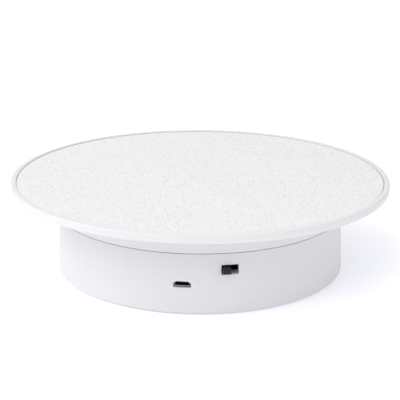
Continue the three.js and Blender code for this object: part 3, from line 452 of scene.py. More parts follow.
def finish(slot):
    """The material of one of the record's slots, made the first time it is asked for."""
    colours = bpy.context.scene.turntable_colours
    sizes = bpy.context.scene.turntable_sizes
    name = f"{slot}_finish"
    makers = {
        "white_shell": lambda: moulded_plastic(name, colours.shell, 0.46),
        "mat_skin": lambda: grained_skin(name, colours.mat, sizes.grain_pitch, sizes.grain_depth),
        "gear_plastic": lambda: moulded_plastic(name, (0.76, 0.73, 0.63), 0.4, 0.8 * MM),
        "gearbox_plastic": lambda: moulded_plastic(name, (0.62, 0.64, 0.68), 0.5, 0.5 * MM),
        "black_plastic": lambda: moulded_plastic(name, colours.knob, 0.34, 0.25 * MM, gloss=0.3),
        "rubber": lambda: soft_rubber(name, (0.075, 0.075, 0.078)),
        "board_green": lambda: solder_mask(name, (0.012, 0.13, 0.04), (0.05, 0.26, 0.07)),
        "steel": lambda: satin_metal(name, (0.56, 0.57, 0.59), 0.34),
        "brass": lambda: satin_metal(name, (0.72, 0.5, 0.16), 0.28),
        "nickel": lambda: satin_metal(name, (0.63, 0.62, 0.59), 0.3, (0.04, 1.0, 1.0)),
        "red_sleeve": lambda: wire_sleeve(name, (0.42, 0.018, 0.012)),
        "black_sleeve": lambda: wire_sleeve(name, (0.016, 0.016, 0.018)),
    }
    return bpy.data.materials.get(name) or makers[slot]()


# ---- Surfaces ----
def grid_quads(rows, columns, wrap_rows, wrap_columns):
    """Corner numbers of the quads of a grid of points, row by row, closed round in either direction."""
    row = np.arange(rows if wrap_rows else rows - 1)[:, None]
    column = np.arange(columns if wrap_columns else columns - 1)[None]
    here, after = row * columns, (row + 1) % rows * columns
    beside = (column + 1) % columns
    corners = (here + column, after + column, after + beside, here + beside)
    return np.stack(corners, axis=-1).reshape(-1, 4)


class Surface:
    """Points and faces, held as arrays until they go into a mesh."""

    def __init__(self, points, quads=(), triangles=()):
        self.points = np.asarray(points, float).reshape(-1, 3)
        self.quads = np.asarray(quads, int).reshape(-1, 4)
        self.triangles = np.asarray(triangles, int).reshape(-1, 3)

    def moved(self, matrix):
        """The surface under a 4 by 4 matrix."""
        matrix = np.array(matrix, float)
        return Surface(self.points @ matrix[:3, :3].T + matrix[:3, 3], self.quads, self.triangles)

    def flipped(self):
        """The surface with its faces turned round."""
        return Surface(self.points, self.quads[:, ::-1], self.triangles[:, ::-1])


def shifted(surface, x=0.0, y=0.0, z=0.0):
    """The surface moved straight along the axes."""
    return surface.moved(Matrix.Translation((x, y, z)))


def together(surfaces):
    """Several surfaces as one, each still closed by itself."""
    surfaces = list(surfaces)
    starts = np.cumsum([0] + [len(surface.points) for surface in surfaces[:-1]])
    return Surface(
        np.concatenate([surface.points for surface in surfaces]),
        np.concatenate([surface.quads + start for surface, start in zip(surfaces, starts)]),
        np.concatenate([surface.triangles + start for surface, start in zip(surfaces, starts)]),
    )


def outward(surface):
    """The closed surface with its faces turned out, told by the sign of the volume that its faces enclose."""
    halves = (surface.quads[:, [0, 1, 2]], surface.quads[:, [0, 2, 3]], surface.triangles)
    corners = surface.points[np.concatenate(halves)]
    volume = np.einsum("ij,ij->i", corners[:, 0], np.cross(corners[:, 1], corners[:, 2])).sum()
    return surface if volume > 0 else surface.flipped()


def revolved(profile, steps=ROUND_STEPS):
    """A turned solid. A point is (r cos a, r sin a, z): (r, z) runs along the profile, and a once round.

    A profile that starts and ends on the axis is closed by a fan at each pole. Any other one closes on
    itself.
    """
    profile = np.asarray(profile, float)
    on_axis = profile[0, 0] == 0
    angle = np.linspace(0, 2 * np.pi, steps, endpoint=False)[:, None]
    rings = profile[1:-1] if on_axis else profile
    r, z = rings[:, 0], np.broadcast_to(rings[:, 1], (steps, len(rings)))
    points = np.stack([r * np.cos(angle), r * np.sin(angle), z], -1).reshape(-1, 3)
    quads = grid_quads(steps, len(rings), True, not on_axis)
    triangles = np.empty((0, 3), int)
    if on_axis:
        first, last = len(points), len(points) + 1
        points = np.vstack([points, (0, 0, profile[0, 1]), (0, 0, profile[-1, 1])])
        ring = np.arange(steps) * len(rings)
        after = np.roll(ring, -1)
        end = ring + len(rings) - 1
        start_fan = np.stack([np.full(steps, first), after, ring], -1)
        end_fan = np.stack([np.full(steps, last), end, np.roll(end, -1)], -1)
        triangles = np.vstack([start_fan, end_fan])
    return outward(Surface(points, quads, triangles))


def lofted(sections):
    """A closed solid through a stack of outlines.

    Point (i, j) is corner j of outline i, and a fan round the outline's mean point closes each end.
    """
    sections = np.asarray(sections, float)
    count, corners, _ = sections.shape
    points = sections.reshape(-1, 3)
    first, last = len(points), len(points) + 1
    points = np.vstack([points, sections[0].mean(0), sections[-1].mean(0)])
    here = np.arange(corners)
    after = (here + 1) % corners
    end = (count - 1) * corners
    start_fan = np.stack([np.full(corners, first), here, after], -1)
    end_fan = np.stack([np.full(corners, last), end + after, end + here], -1)
    quads = grid_quads(count, corners, False, True)
    return outward(Surface(points, quads, np.vstack([start_fan, end_fan])))


def rounded_outline(width, depth, radius, steps=5):
    """A rectangle with round corners: a point is a corner's centre plus radius times (cos a, sin a)."""
    angle = (np.linspace(0, np.pi / 2, steps)[None] + np.arange(4)[:, None] * np.pi / 2).ravel()
    side = np.repeat([(1, 1), (-1, 1), (-1, -1), (1, -1)], steps, axis=0)
    centre = side * (width / 2 - radius, depth / 2 - radius)
    return centre + radius * np.stack([np.cos(angle), np.sin(angle)], -1)


def pillow(size, radius, corner):
    """A block with rounded edges: an outline that shrinks along a quarter circle at the top and bottom."""
    width, depth, height = size
    turn = np.linspace(0, np.pi / 2, EDGE_STEPS)
    inset = radius * (1 - np.sin(turn))
    rise = radius * (1 - np.cos(turn))
    insets = np.concatenate([inset, inset[::-1]])
    heights = np.concatenate([rise, height - rise[::-1]])
    outlines = [rounded_outline(width - 2 * i, depth - 2 * i, max(corner - i, SHARP)) for i in insets]
    return lofted([np.insert(outline, 2, h, axis=1) for outline, h in zip(outlines, heights)])


def block(lowest, highest, radius=0.0, corner=0.0):
    """A block between two corners. A radius rounds every edge, and a corner alone only the upright ones."""
    lowest, highest = np.array(lowest, float), np.array(highest, float)
    size = highest - lowest
    if radius:
        made = pillow(size, radius, max(corner, radius))
    else:
        outline = rounded_outline(size[0], size[1], corner, 5 if corner else 1)
        made = lofted([np.insert(outline, 2, height, axis=1) for height in (0, size[2])])
    centre = (lowest + highest) / 2
    return shifted(made, centre[0], centre[1], lowest[2])


def cylinder(radius, bottom, top, x=0.0, y=0.0, steps=48):
    """An upright cylinder: a turned rectangle moved to (x, y), its edges clear of those it may cross."""
    made = revolved([(0, bottom), (radius, bottom), (radius, top), (0, top)], steps)
    return made.moved(Matrix.Translation((x, y, 0)) @ about_axis(SEAM_TURN))


def circle(radius, steps=12):
    """Points of a circle."""
    angle = np.linspace(0, 2 * np.pi, steps, endpoint=False)
    return radius * np.stack([np.cos(angle), np.sin(angle)], -1)


def quarter(centre, radius, start, end, steps=7):
    """Points of an arc in the profile's plane, from one angle in degrees to another."""
    angle = np.radians(np.linspace(start, end, steps))
    return [(centre[0] + radius * math.cos(a), centre[1] + radius * math.sin(a)) for a in angle]


def about_axis(angle):
    """A turn about the stand's axis."""
    return Matrix.Rotation(angle, 4, "Z")


# ---- Objects ----
def mesh_object(name, surface):
    """An object at the origin whose mesh holds the surface."""
    mesh = bpy.data.meshes.new(name)
    faces = surface.quads.tolist() + surface.triangles.tolist()
    mesh.from_pydata(surface.points.tolist(), [], faces)
    mesh.validate()
    made = bpy.data.objects.new(name, mesh)
    bpy.context.scene.collection.objects.link(made)
    return made


def carve(body, tools, operation="DIFFERENCE"):
    """Adds or cuts away closed surfaces one after another, and keeps the result as plain geometry."""
    for number, tool in enumerate(tools):
        other = mesh_object(f"tool_{number}", tool)
        modifier = body.modifiers.new("carve", "BOOLEAN")
        modifier.operation = operation
        modifier.solver = "EXACT"
        modifier.object = other
        bpy.context.view_layer.update()
        evaluated = body.evaluated_get(bpy.context.evaluated_depsgraph_get())
        carved = bpy.data.meshes.new_from_object(evaluated)
        body.modifiers.clear()
        spent = body.data
        body.data = carved
        bpy.data.meshes.remove(spent)
        bpy.data.objects.remove(other)
    return body


def dress(made, slot, body, *nodes, crease=32):
    """Smooths a piece up to a crease angle in degrees, gives it its finish and puts it on its body."""
    if not len(made.data.polygons):
        raise RuntimeError(f"{made.name} came out empty")
    made.data.shade_smooth()
    made.data.set_sharp_from_angle(angle=math.radians(crease))
    made.data.materials.clear()
    made.data.materials.append(finish(slot))
    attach(made, body)
    if nodes:
        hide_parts(*nodes)
    return made


# ---- Operators, one for each piece or group of like pieces ----
class Maker(Operator):
    """What the makers share: execute runs build, which raises an error when it can't finish."""

    bl_options = {"REGISTER", "UNDO"}

    def execute(self, context):
        self.build(context.scene)
        return {"FINISHED"}


class TURNTABLE_OT_platter(Maker):
    """Make the platter: a turned disc with a raised rim, a roller track, a hub and radial ribs"""

    bl_idname = "turntable.platter"
    bl_label = "Platter"

    hub_radius = 6.8 * MM
    hub_bore = 3.2 * MM
    screw_bore = 1.7 * MM
    seat_radius = 3.9 * MM
    seat_depth = 0.95 * MM
    rib_count = 8
    rib_half_width = 0.7 * MM
    rib_height = 1.0 * MM

    def build(self, scene):
        profile = self.profile(scene.turntable_sizes.rim_round)
        seat = cylinder(self.seat_radius, BED_TOP - self.seat_depth, BED_TOP + MM)
        platter = carve(mesh_object("platter_moulding", revolved(profile)), [seat])
        dress(platter, "white_shell", "platter", "platter_disc")
        dress(mesh_object("platter_ribs", self.ribs()), "white_shell", "platter")

    def profile(self, rim):
        """The disc's half section: along the bed, over the rim, and back below to the hub's bore."""
        lip = 0.25 * MM
        draft = 0.2 * MM
        chamfer = 0.3 * MM
        fillet = 1.0 * MM
        rim_bottom = PLATTER_TOP - RIM_HEIGHT
        bore_top = high("output_gear").z + FIT_GAP
        return [
            (self.screw_bore, BED_TOP),
            (BED_RADIUS, BED_TOP),
            (BED_RADIUS, PLATTER_TOP - lip),
            *quarter((BED_RADIUS + lip, PLATTER_TOP - lip), lip, 180, 90, 5)[1:],
            *quarter((PLATTER_RADIUS - rim, PLATTER_TOP - rim), rim, 90, 0),
            *quarter((PLATTER_RADIUS - rim, rim_bottom + rim), rim, 0, -90),
            (BED_RADIUS + chamfer, rim_bottom),
            (BED_RADIUS, rim_bottom + chamfer),
            (BED_RADIUS - chamfer, PLATE_BOTTOM),
            (TRACK_OUTSIDE, PLATE_BOTTOM),
            (TRACK_OUTSIDE - draft, TRACK_BOTTOM),
            (TRACK_INSIDE + draft, TRACK_BOTTOM),
            (TRACK_INSIDE, PLATE_BOTTOM),
            (self.hub_radius + fillet, PLATE_BOTTOM),
            (self.hub_radius, PLATE_BOTTOM - fillet),
            (self.hub_radius, HUB_BOTTOM + chamfer),
            (self.hub_radius - chamfer, HUB_BOTTOM),
            (self.hub_bore, HUB_BOTTOM),
            (self.hub_bore, bore_top),
            (self.screw_bore, bore_top),
        ]

    def ribs(self):
        """Radial ribs inside and outside the track, let into the plate and the track by a hair."""
        hair = 0.2 * MM
        bottom = PLATE_BOTTOM - self.rib_height
        top = PLATE_BOTTOM + hair / 2
        half = self.rib_half_width
        spans = (
            (self.hub_radius - hair, TRACK_INSIDE + hair),
            (TRACK_OUTSIDE - hair, BED_RADIUS - 0.5 * MM),
        )
        bars = [block((start, -half, bottom), (end, half, top), 0.25 * MM) for start, end in spans]
        angles = (np.arange(self.rib_count) + 0.5) * 2 * math.pi / self.rib_count
        return together(bar.moved(about_axis(angle)) for angle in angles for bar in bars)


class TURNTABLE_OT_mat(Maker):
    """Make the grained mat that lies in the platter's bed"""

    bl_idname = "turntable.mat"
    bl_label = "Mat"

    def build(self, scene):
        edge = 0.25 * MM
        profile = [
            *((radius, MAT_TOP) for radius in np.linspace(0, MAT_RADIUS - edge, 40)),
            *quarter((MAT_RADIUS - edge, MAT_TOP - edge), edge, 90, 0, 5)[1:],
            (MAT_RADIUS, MAT_BOTTOM),
            (0, MAT_BOTTOM),
        ]
        sheet = shifted(revolved(profile), middle("top_mat").x)
        dress(mesh_object("mat_sheet", sheet), "mat_skin", "platter", "top_mat")


class TURNTABLE_OT_cover(Maker):
    """Make the upper housing: skirt, roof, hub hole, roller pockets and screw bosses"""

    bl_idname = "turntable.cover"
    bl_label = "Top cover"

    hub_hole = 8.0 * MM
    rebate = 0.95 * MM
    pocket_depth = 6.0 * MM
    pocket_wall = 1.6 * MM
    pocket_room = (3.0 * MM, 6.0 * MM)
    roller_pin_hole = 1.3 * MM
    boss_radius = 3.8 * MM
    roof_left_over_screw = 0.6 * MM

    def build(self, scene):
        body = mesh_object("cover_moulding", revolved(self.profile(scene.turntable_sizes.seam_round)))
        additions, cuts = [], []
        for number in range(1, 5):
            self.add_pocket(middle(f"support_roller_{number}"), additions, cuts)
            screw = f"cover_screw_{number}"
            self.add_boss(middle(screw), COVER_BOTTOM, high(screw).z + 0.5 * MM, additions, cuts)
        lid_top = high("gearbox_lid").z
        hole_top = COVER_TOP - self.roof_left_over_screw
        for number in range(1, 4):
            screw = f"gearbox_screw_{number}"
            self.add_boss(middle(screw), lid_top + FIT_GAP, hole_top, additions, cuts)
        carve(body, additions, "UNION")
        carve(body, cuts)
        dress(body, "white_shell", "base", "top_cover")

    def profile(self, seam_round):
        """The cover's half section: over the roof, down the skirt, and back up inside its rebate."""
        rebate_top = LIP_TOP + SEAM_GAP
        outer = drum_radius
        roof_round = 1.6 * MM
        return [
            (self.hub_hole, COVER_TOP),
            *quarter((outer(COVER_TOP) - roof_round, COVER_TOP - roof_round), roof_round, 90, 0),
            *quarter((outer(COVER_BOTTOM) - seam_round, COVER_BOTTOM + seam_round), seam_round, 0, -90, 5),
            (outer(COVER_BOTTOM) - self.rebate, COVER_BOTTOM),
            (outer(rebate_top) - self.rebate, rebate_top),
            (outer(rebate_top) - WALL, rebate_top),
            (outer(ROOF_BOTTOM) - WALL, ROOF_BOTTOM),
            (self.hub_hole, ROOF_BOTTOM),
        ]

    def add_pocket(self, centre, additions, cuts):
        """One roller's walled pocket, open through the roof, with the hole for the roller's pin."""
        across, along = self.pocket_room
        wall = self.pocket_wall
        bottom = ROOF_BOTTOM - self.pocket_depth
        turn = Matrix.Translation((centre.x, centre.y, 0)) @ about_axis(math.atan2(centre.y, centre.x))
        walls_top = ROOF_BOTTOM + LET_IN
        walls = block((-across - wall, -along - wall, bottom), (across + wall, along + wall, walls_top))
        room = block((-across, -along, bottom - MM), (across, along, COVER_TOP + MM), 0, 0.5 * MM)
        lying = Matrix.Translation((0, 0, centre.z)) @ Matrix.Rotation(math.pi / 2, 4, "Y")
        pin_hole = cylinder(self.roller_pin_hole, -10 * MM, 10 * MM).moved(lying)
        additions.append(walls.moved(turn))
        cuts += [room.moved(turn), pin_hole.moved(turn)]

    def add_boss(self, place, bottom, hole_top, additions, cuts):
        """One screw boss under the roof, with its blind hole."""
        additions.append(cylinder(self.boss_radius, bottom, ROOF_BOTTOM + LET_IN, place.x, place.y))
        cuts.append(cylinder(PILOT_RADIUS, bottom - MM, hole_top, place.x, place.y))


def wall_opening(outline, angle, height, reach, flare):
    """A tool that cuts through the drum's wall, with a mouth that opens out over the last bit.

    A point (u, v) of the outline at depth d inside the wall's face lies at the angle of the opening plus u
    over the wall's radius, at height v above the opening's centre, and d in from the drafted face. The
    outline grows by the flare along a quarter circle as d goes from the flare's size to zero, and runs on
    outside the wall.
    """
    outside = 1.5 * MM
    turn = np.linspace(0, np.pi / 2, 6)
    depth = np.concatenate([[-outside], flare * (1 - np.cos(turn)), [reach]])
    growth = np.concatenate([[flare], flare * (1 - np.sin(turn)), [0.0]])
    outline = np.asarray(outline, float)
    edge = np.roll(outline, -1, axis=0) - np.roll(outline, 1, axis=0)
    normal = np.stack([edge[:, 1], -edge[:, 0]], -1)
    normal /= np.linalg.norm(normal, axis=1, keepdims=True)
    u, v = np.moveaxis(outline[None] + growth[:, None, None] * normal[None], -1, 0)
    radius = drum_radius(height + v) - depth[:, None]
    around = angle + np.arctan2(u, drum_radius(height))
    points = np.stack([radius * np.sin(around), -radius * np.cos(around), height + v], -1)
    return lofted(points)


def port_outline(width, height, chamfer, corner=0.5 * MM):
    """The power port's outline: cut-off top corners and small bottom corners, each with one mid point.

    The right half runs from the bottom up, and the left half is its mirror image, from the top down.
    """
    w, h = width / 2, height / 2
    right = [
        (w - corner, -h),
        (w - 0.29 * corner, -h + 0.29 * corner),
        (w, -h + corner),
        (w, h - chamfer),
        (w - 0.2 * chamfer, h - 0.55 * chamfer),
        (w - chamfer, h),
    ]
    left = [(-x, y) for x, y in reversed(right)]
    return np.array(right + left)


def stood_through(outline, start, end):
    """An outline in the local XZ plane, carried straight along Y."""
    flat = np.insert(np.asarray(outline, float), 1, 0.0, axis=1)
    return lofted([flat + (0, y, 0) for y in (start, end)])


class TURNTABLE_OT_drum(Maker):
    """Make the lower housing: drafted drum with port and switch openings, floor, battery box and posts"""

    bl_idname = "turntable.drum"
    bl_label = "Drum"

    post_radius = 4.0 * MM
    board_post_radius = 2.6 * MM
    switch_block_half = (11 * MM, 4.3 * MM)
    mouth_flare = 0.08 * MM
    window_corner = 0.25 * MM
    window_reach = 12 * MM
    port_size = (8.8 * MM, 3.2 * MM)
    port_chamfer = 1.3 * MM
    port_reach = 5 * MM
    rebate_corner = 1.0 * MM
    tongue_slot_half_width = 4 * MM
    tongue_slot_span = (1.2 * MM, 4.2 * MM)
    tab_slot_half = (2.2 * MM, 1.4 * MM)
    tab_slot_span = (-0.3 * MM, 0.7 * MM)
    screw_counterbore = 3.3 * MM
    screw_passage = 1.7 * MM
    foot_recess_radius = 5.3 * MM

    def build(self, scene):
        sizes = scene.turntable_sizes
        body = mesh_object("drum_moulding", revolved(self.profile(sizes.seam_round, sizes.foot_edge_round)))
        carve(body, self.additions(), "UNION")
        carve(body, [*self.wall_cuts(), *self.bay_cuts(), *self.fastening_cuts()])
        dress(body, "white_shell", "base", "base_shell")

    def profile(self, seam_round, foot_round):
        """The drum's half section: out along the bottom, up the wall, over the lip and back inside."""
        outer = drum_radius
        return [
            (0, DRUM_BOTTOM),
            *quarter((outer(DRUM_BOTTOM) - foot_round, DRUM_BOTTOM + foot_round), foot_round, -90, 0),
            *quarter((outer(DRUM_TOP) - seam_round, DRUM_TOP - seam_round), seam_round, 0, 90, 5),
            (outer(DRUM_TOP) - LIP_SETBACK, DRUM_TOP),
            (outer(LIP_TOP) - LIP_SETBACK, LIP_TOP),
            (outer(LIP_TOP) - WALL, LIP_TOP),
            (outer(FLOOR_TOP) - WALL, FLOOR_TOP),
            (0, FLOOR_TOP),
        ]

    def additions(self):
        """Switch block, battery box, screw posts and board posts."""
        width, height = self.switch_block_half
        switch_block = block(
            (-width, WALL - LET_IN - drum_radius(SWITCH_HEIGHT), SWITCH_HEIGHT - height),
            (width, -TUNNEL_END, SWITCH_HEIGHT + height),
        )
        battery_box = block(
            (-BAY_X - BAY_WALL, BAY_FRONT - BAY_WALL, DRUM_BOTTOM + 0.2 * MM),
            (BAY_X + BAY_WALL, BAY_BACK + BAY_WALL, BAY_CEILING + 1.6 * MM),
        )
        board_bottom = low("circuit_board").z - FIT_GAP
        screws = [(f"cover_screw_{number}", self.post_radius, DRUM_TOP) for number in range(1, 5)]
        screws += [(f"board_screw_{number}", self.board_post_radius, board_bottom) for number in (1, 2)]
        places = [(middle(node), radius, top) for node, radius, top in screws]
        posts = [cylinder(radius, FLOOR_TOP - LET_IN, top, at.x, at.y) for at, radius, top in places]
        return [switch_block.moved(about_axis(SWITCH_BEARING)), battery_box, *posts]

    def wall_cuts(self):
        """The switch window with the hollow behind it, and the power port's opening."""
        window = rounded_outline(WINDOW_WIDTH, WINDOW_HEIGHT, self.window_corner, 3)
        port = port_outline(*self.port_size, self.port_chamfer)
        port_height = PORT_HEIGHT - PORT_RISE
        sill = SWITCH_HEIGHT - WINDOW_HEIGHT / 2
        pocket = block(
            (-POCKET_HALF_WIDTH, WALL - drum_radius(SWITCH_HEIGHT), sill),
            (POCKET_HALF_WIDTH, MM - TUNNEL_END, SWITCH_HEIGHT + POCKET_RISE),
        )
        return [
            wall_opening(window, SWITCH_BEARING, SWITCH_HEIGHT, self.window_reach, self.mouth_flare),
            wall_opening(port, PORT_BEARING, port_height, self.port_reach, self.mouth_flare),
            pocket.moved(about_axis(SWITCH_BEARING)),
        ]

    def bay_cuts(self):
        """The battery bay, the door's rebate, and the slots for the door's tongues and the contacts' tabs."""
        rebate_low = (-BAY_X - REBATE, BAY_FRONT - REBATE, -MM)
        rebate_high = (BAY_X + REBATE, BAY_BACK + REBATE, DOOR_TOP + DOOR_GAP)
        half, (bottom, top) = self.tongue_slot_half_width, self.tongue_slot_span
        slot_start, slot_end = BAY_BACK - 0.1 * MM, BAY_BACK + BAY_WALL + 0.3 * MM
        tongue_slot = block((-half, slot_start, bottom), (half, slot_end, top))
        (across, along), (bottom, top) = self.tab_slot_half, self.tab_slot_span
        tab_slot = block((-across, -along, TAB_BOTTOM + bottom), (across, along, TAB_BOTTOM + top))
        tab_x = BAY_X + BAY_WALL / 2
        return [
            block((-BAY_X, BAY_FRONT, -MM), (BAY_X, BAY_BACK, BAY_CEILING)),
            block(rebate_low, rebate_high, corner=self.rebate_corner),
            shifted(tongue_slot, -TONGUE_X),
            shifted(tongue_slot, TONGUE_X),
            shifted(tab_slot, -tab_x, middle("contact_negative").y),
            shifted(tab_slot, tab_x, middle("contact_positive").y),
        ]

    def fastening_cuts(self):
        """The passages and counterbores of the cover's screws, and the recesses of the feet."""
        cuts = []
        for number in range(1, 5):
            screw = middle(f"cover_screw_{number}")
            seat = low(f"cover_screw_{number}").z + COVER_SCREW_HEAD + FIT_GAP
            cuts.append(cylinder(self.screw_counterbore, -MM, seat, screw.x, screw.y))
            cuts.append(cylinder(self.screw_passage, 0, DRUM_TOP + MM, screw.x, screw.y))
            foot = middle(f"foot_pad_{number}")
            recess_top = high(f"foot_pad_{number}").z + FIT_GAP
            cuts.append(cylinder(self.foot_recess_radius, -MM, recess_top, foot.x, foot.y))
        return cuts


class TURNTABLE_OT_door(Maker):
    """Make the battery door: round-cornered plate, hinge tongues, latch and a grooved finger grip"""

    bl_idname = "turntable.door"
    bl_label = "Battery door"

    edge_round = 0.25 * MM
    corner_round = 0.9 * MM
    tongue_half_width = 3 * MM
    tongue_span = (1.5 * MM, 2.5 * MM)
    tongue_round = 0.2 * MM
    latch_half_width = 4 * MM
    latch_span = (0.7 * MM, 2.0 * MM)
    latch_root = 0.4 * MM
    latch_round = 0.3 * MM
    grip_radius = 9 * MM
    grip_depth = 0.7 * MM
    groove_places = (2.2 * MM, 3.8 * MM, 5.4 * MM)
    groove_half_length = 6 * MM
    groove_width = 0.7 * MM
    groove_depth = 0.4 * MM

    def build(self, scene):
        plate_high = (DOOR_HIGH.x, BAY_BACK + REBATE - DOOR_GAP, DOOR_TOP)
        body = mesh_object("door_moulding", block(DOOR_LOW, plate_high, self.edge_round, self.corner_round))
        carve(body, [*self.tongues(), self.latch()], "UNION")
        carve(body, [self.grip(), *self.grooves()])
        dress(body, "white_shell", "door", "battery_door")

    def tongues(self):
        """The two tongues that hinge the door at its back edge."""
        half, (bottom, top) = self.tongue_half_width, self.tongue_span
        tongue = block((-half, BAY_BACK, bottom), (half, DOOR_HIGH.y, top), self.tongue_round)
        return [shifted(tongue, x) for x in (-TONGUE_X, TONGUE_X)]

    def latch(self):
        """The sprung latch that stands up behind the door's front edge."""
        half, (front, back) = self.latch_half_width, self.latch_span
        start = (-half, BAY_FRONT + front, DOOR_TOP - self.latch_root)
        return block(start, (half, BAY_FRONT + back, DOOR_HIGH.z), self.latch_round)

    def grip(self):
        """The finger hollow: a wide shallow disc centred in front of the door."""
        centre_y = BAY_FRONT - self.grip_radius / 2
        return cylinder(self.grip_radius, -MM, DOOR_LOW.z + self.grip_depth, 0, centre_y, 64)

    def grooves(self):
        """Straight grooves across the finger hollow and behind it."""
        half = self.groove_half_length
        top = DOOR_LOW.z + self.groove_depth
        groove = block((-half, BAY_FRONT, DOOR_LOW.z - MM), (half, BAY_FRONT + self.groove_width, top))
        return [shifted(groove, y=y) for y in self.groove_places]


class TURNTABLE_OT_feet(Maker):
    """Make the four rubber feet: flat discs with a rounded edge and a moulded ring groove"""

    bl_idname = "turntable.feet"
    bl_label = "Feet"

    edge = 0.35 * MM
    groove = 0.3 * MM

    def build(self, scene):
        for number in range(1, 5):
            node = f"foot_pad_{number}"
            centre = middle(node)
            pad = self.pad(high(node).x - centre.x, high(node).z)
            foot = mesh_object(f"foot_{number}", shifted(pad, centre.x, centre.y))
            dress(foot, "rubber", "base", node)

    def pad(self, radius, top):
        """One turned pad, whose ring groove lies between 0.55 and 0.69 of its radius."""
        profile = [
            (0, 0),
            (radius * 0.55, 0),
            (radius * 0.58, self.groove),
            (radius * 0.66, self.groove),
            (radius * 0.69, 0),
            *quarter((radius - self.edge, self.edge), self.edge, -90, 0, 5),
            (radius, top),
            (0, top),
        ]
        return revolved(profile, 64)


class TURNTABLE_OT_knob(Maker):
    """Make the sliding knob: a rounded stem with fine grip grooves across its tip, on its carriage"""

    bl_idname = "turntable.knob"
    bl_label = "Switch knob"

    edge_round = 0.45 * MM
    stem_root = 1.55 * MM
    carriage_half = (4 * MM, 2.3 * MM)
    carriage_span = (0.4 * MM, 2.2 * MM)
    carriage_round = 0.2 * MM
    groove_places = (-1.0 * MM, 0.0, 1.0 * MM)
    groove_half_width = 0.13 * MM
    groove_depth = 0.25 * MM

    def build(self, scene):
        turn = about_axis(SWITCH_BEARING) @ Matrix.Translation((KNOB_OFFSET, 0, SWITCH_HEIGHT))
        tip = -drum_radius(SWITCH_HEIGHT) - KNOB_STANDOUT
        body = mesh_object("knob_moulding", self.stem(tip).moved(turn))
        carve(body, [self.carriage().moved(turn)], "UNION")
        carve(body, [groove.moved(turn) for groove in self.grooves(tip)])
        dress(body, "black_plastic", "switch_slider", "switch_knob")

    def stem(self, tip):
        """The stem, which reaches from the carriage out through the window."""
        root = self.stem_root - TUNNEL_END
        upright = Matrix.Translation((0, root, 0)) @ Matrix.Rotation(math.pi / 2, 4, "X")
        return pillow((KNOB_WIDTH, KNOB_HEIGHT, root - tip), self.edge_round, self.edge_round).moved(upright)

    def carriage(self):
        """The plate inside the switch that the stem stands on."""
        width, height = self.carriage_half
        front, back = (depth - TUNNEL_END for depth in self.carriage_span)
        return block((-width, front, -height), (width, back, height), self.carriage_round)

    def grooves(self, tip):
        """Upright grooves across the stem's tip."""
        half = self.groove_half_width
        groove = block((-half, tip - MM, -KNOB_HEIGHT), (half, tip + self.groove_depth, KNOB_HEIGHT))
        return [shifted(groove, x) for x in self.groove_places]


class TURNTABLE_OT_port(Maker):
    """Make the power port: a folded metal shell with a flared mouth, and its tongue with contacts"""

    bl_idname = "turntable.port"
    bl_label = "Power port"

    shell_depth = 6.1 * MM
    end_size = (6.8 * MM, 1.75 * MM)
    end_chamfer = 0.8 * MM
    end_span = (1.4 * MM, 0.1 * MM)  # in front of the shell's back
    tongue_half_width = 2.2 * MM
    tongue_setback = 1.1 * MM
    tongue_span = (0.1 * MM, 0.75 * MM)
    tongue_round = 0.08 * MM
    contact_count = 5
    contact_pitch = 0.65 * MM
    contact_half_width = 0.13 * MM
    contact_span = (0.02 * MM, 0.12 * MM)

    def build(self, scene):
        place = about_axis(PORT_BEARING) @ Matrix.Translation((0, 0, PORT_HEIGHT))
        mouth = PORT_SETBACK - drum_radius(PORT_HEIGHT)
        back = mouth + self.shell_depth
        dress(mesh_object("port_shell", self.shell(mouth, back).moved(place)), "nickel", "base", "usb_shell")
        end_front, end_back = (back - distance for distance in self.end_span)
        end = stood_through(port_outline(*self.end_size, self.end_chamfer), end_front, end_back)
        tongue_front = mouth + self.tongue_setback
        half, (bottom, top) = self.tongue_half_width, self.tongue_span
        tongue = block((-half, tongue_front, bottom), (half, back - MM, top), self.tongue_round)
        insert = carve(mesh_object("port_insert", end.moved(place)), [tongue.moved(place)], "UNION")
        dress(insert, "black_plastic", "base", "usb_insert")
        hair = 0.2 * MM
        strips = self.strips(tongue_front + hair, end_front - hair)
        dress(mesh_object("port_contacts", strips.moved(place)), "brass", "base")

    def shell(self, mouth, back):
        """A closed tube through six outlines: back to mouth outside, then mouth to back inside."""
        throat = mouth + 0.6 * MM
        stages = (
            (7.6, 2.45, 1.1, back),
            (7.6, 2.45, 1.1, throat),
            (7.8, 2.55, 1.15, mouth),
            (7.5, 2.25, 1.1, mouth),
            (7.1, 2.0, 0.95, throat),
            (7.1, 2.0, 0.95, back),
        )
        rings = [np.insert(port_outline(w * MM, h * MM, cut * MM), 1, y, axis=1) for w, h, cut, y in stages]
        return outward(Surface(rings, grid_quads(len(rings), len(rings[0]), True, True)))

    def strips(self, start, end):
        """The contacts along the underside of the tongue."""
        half, (bottom, top) = self.contact_half_width, self.contact_span
        strip = block((-half, start, bottom), (half, end, top))
        places = (np.arange(self.contact_count) - (self.contact_count - 1) / 2) * self.contact_pitch
        return together(shifted(strip, x) for x in places)


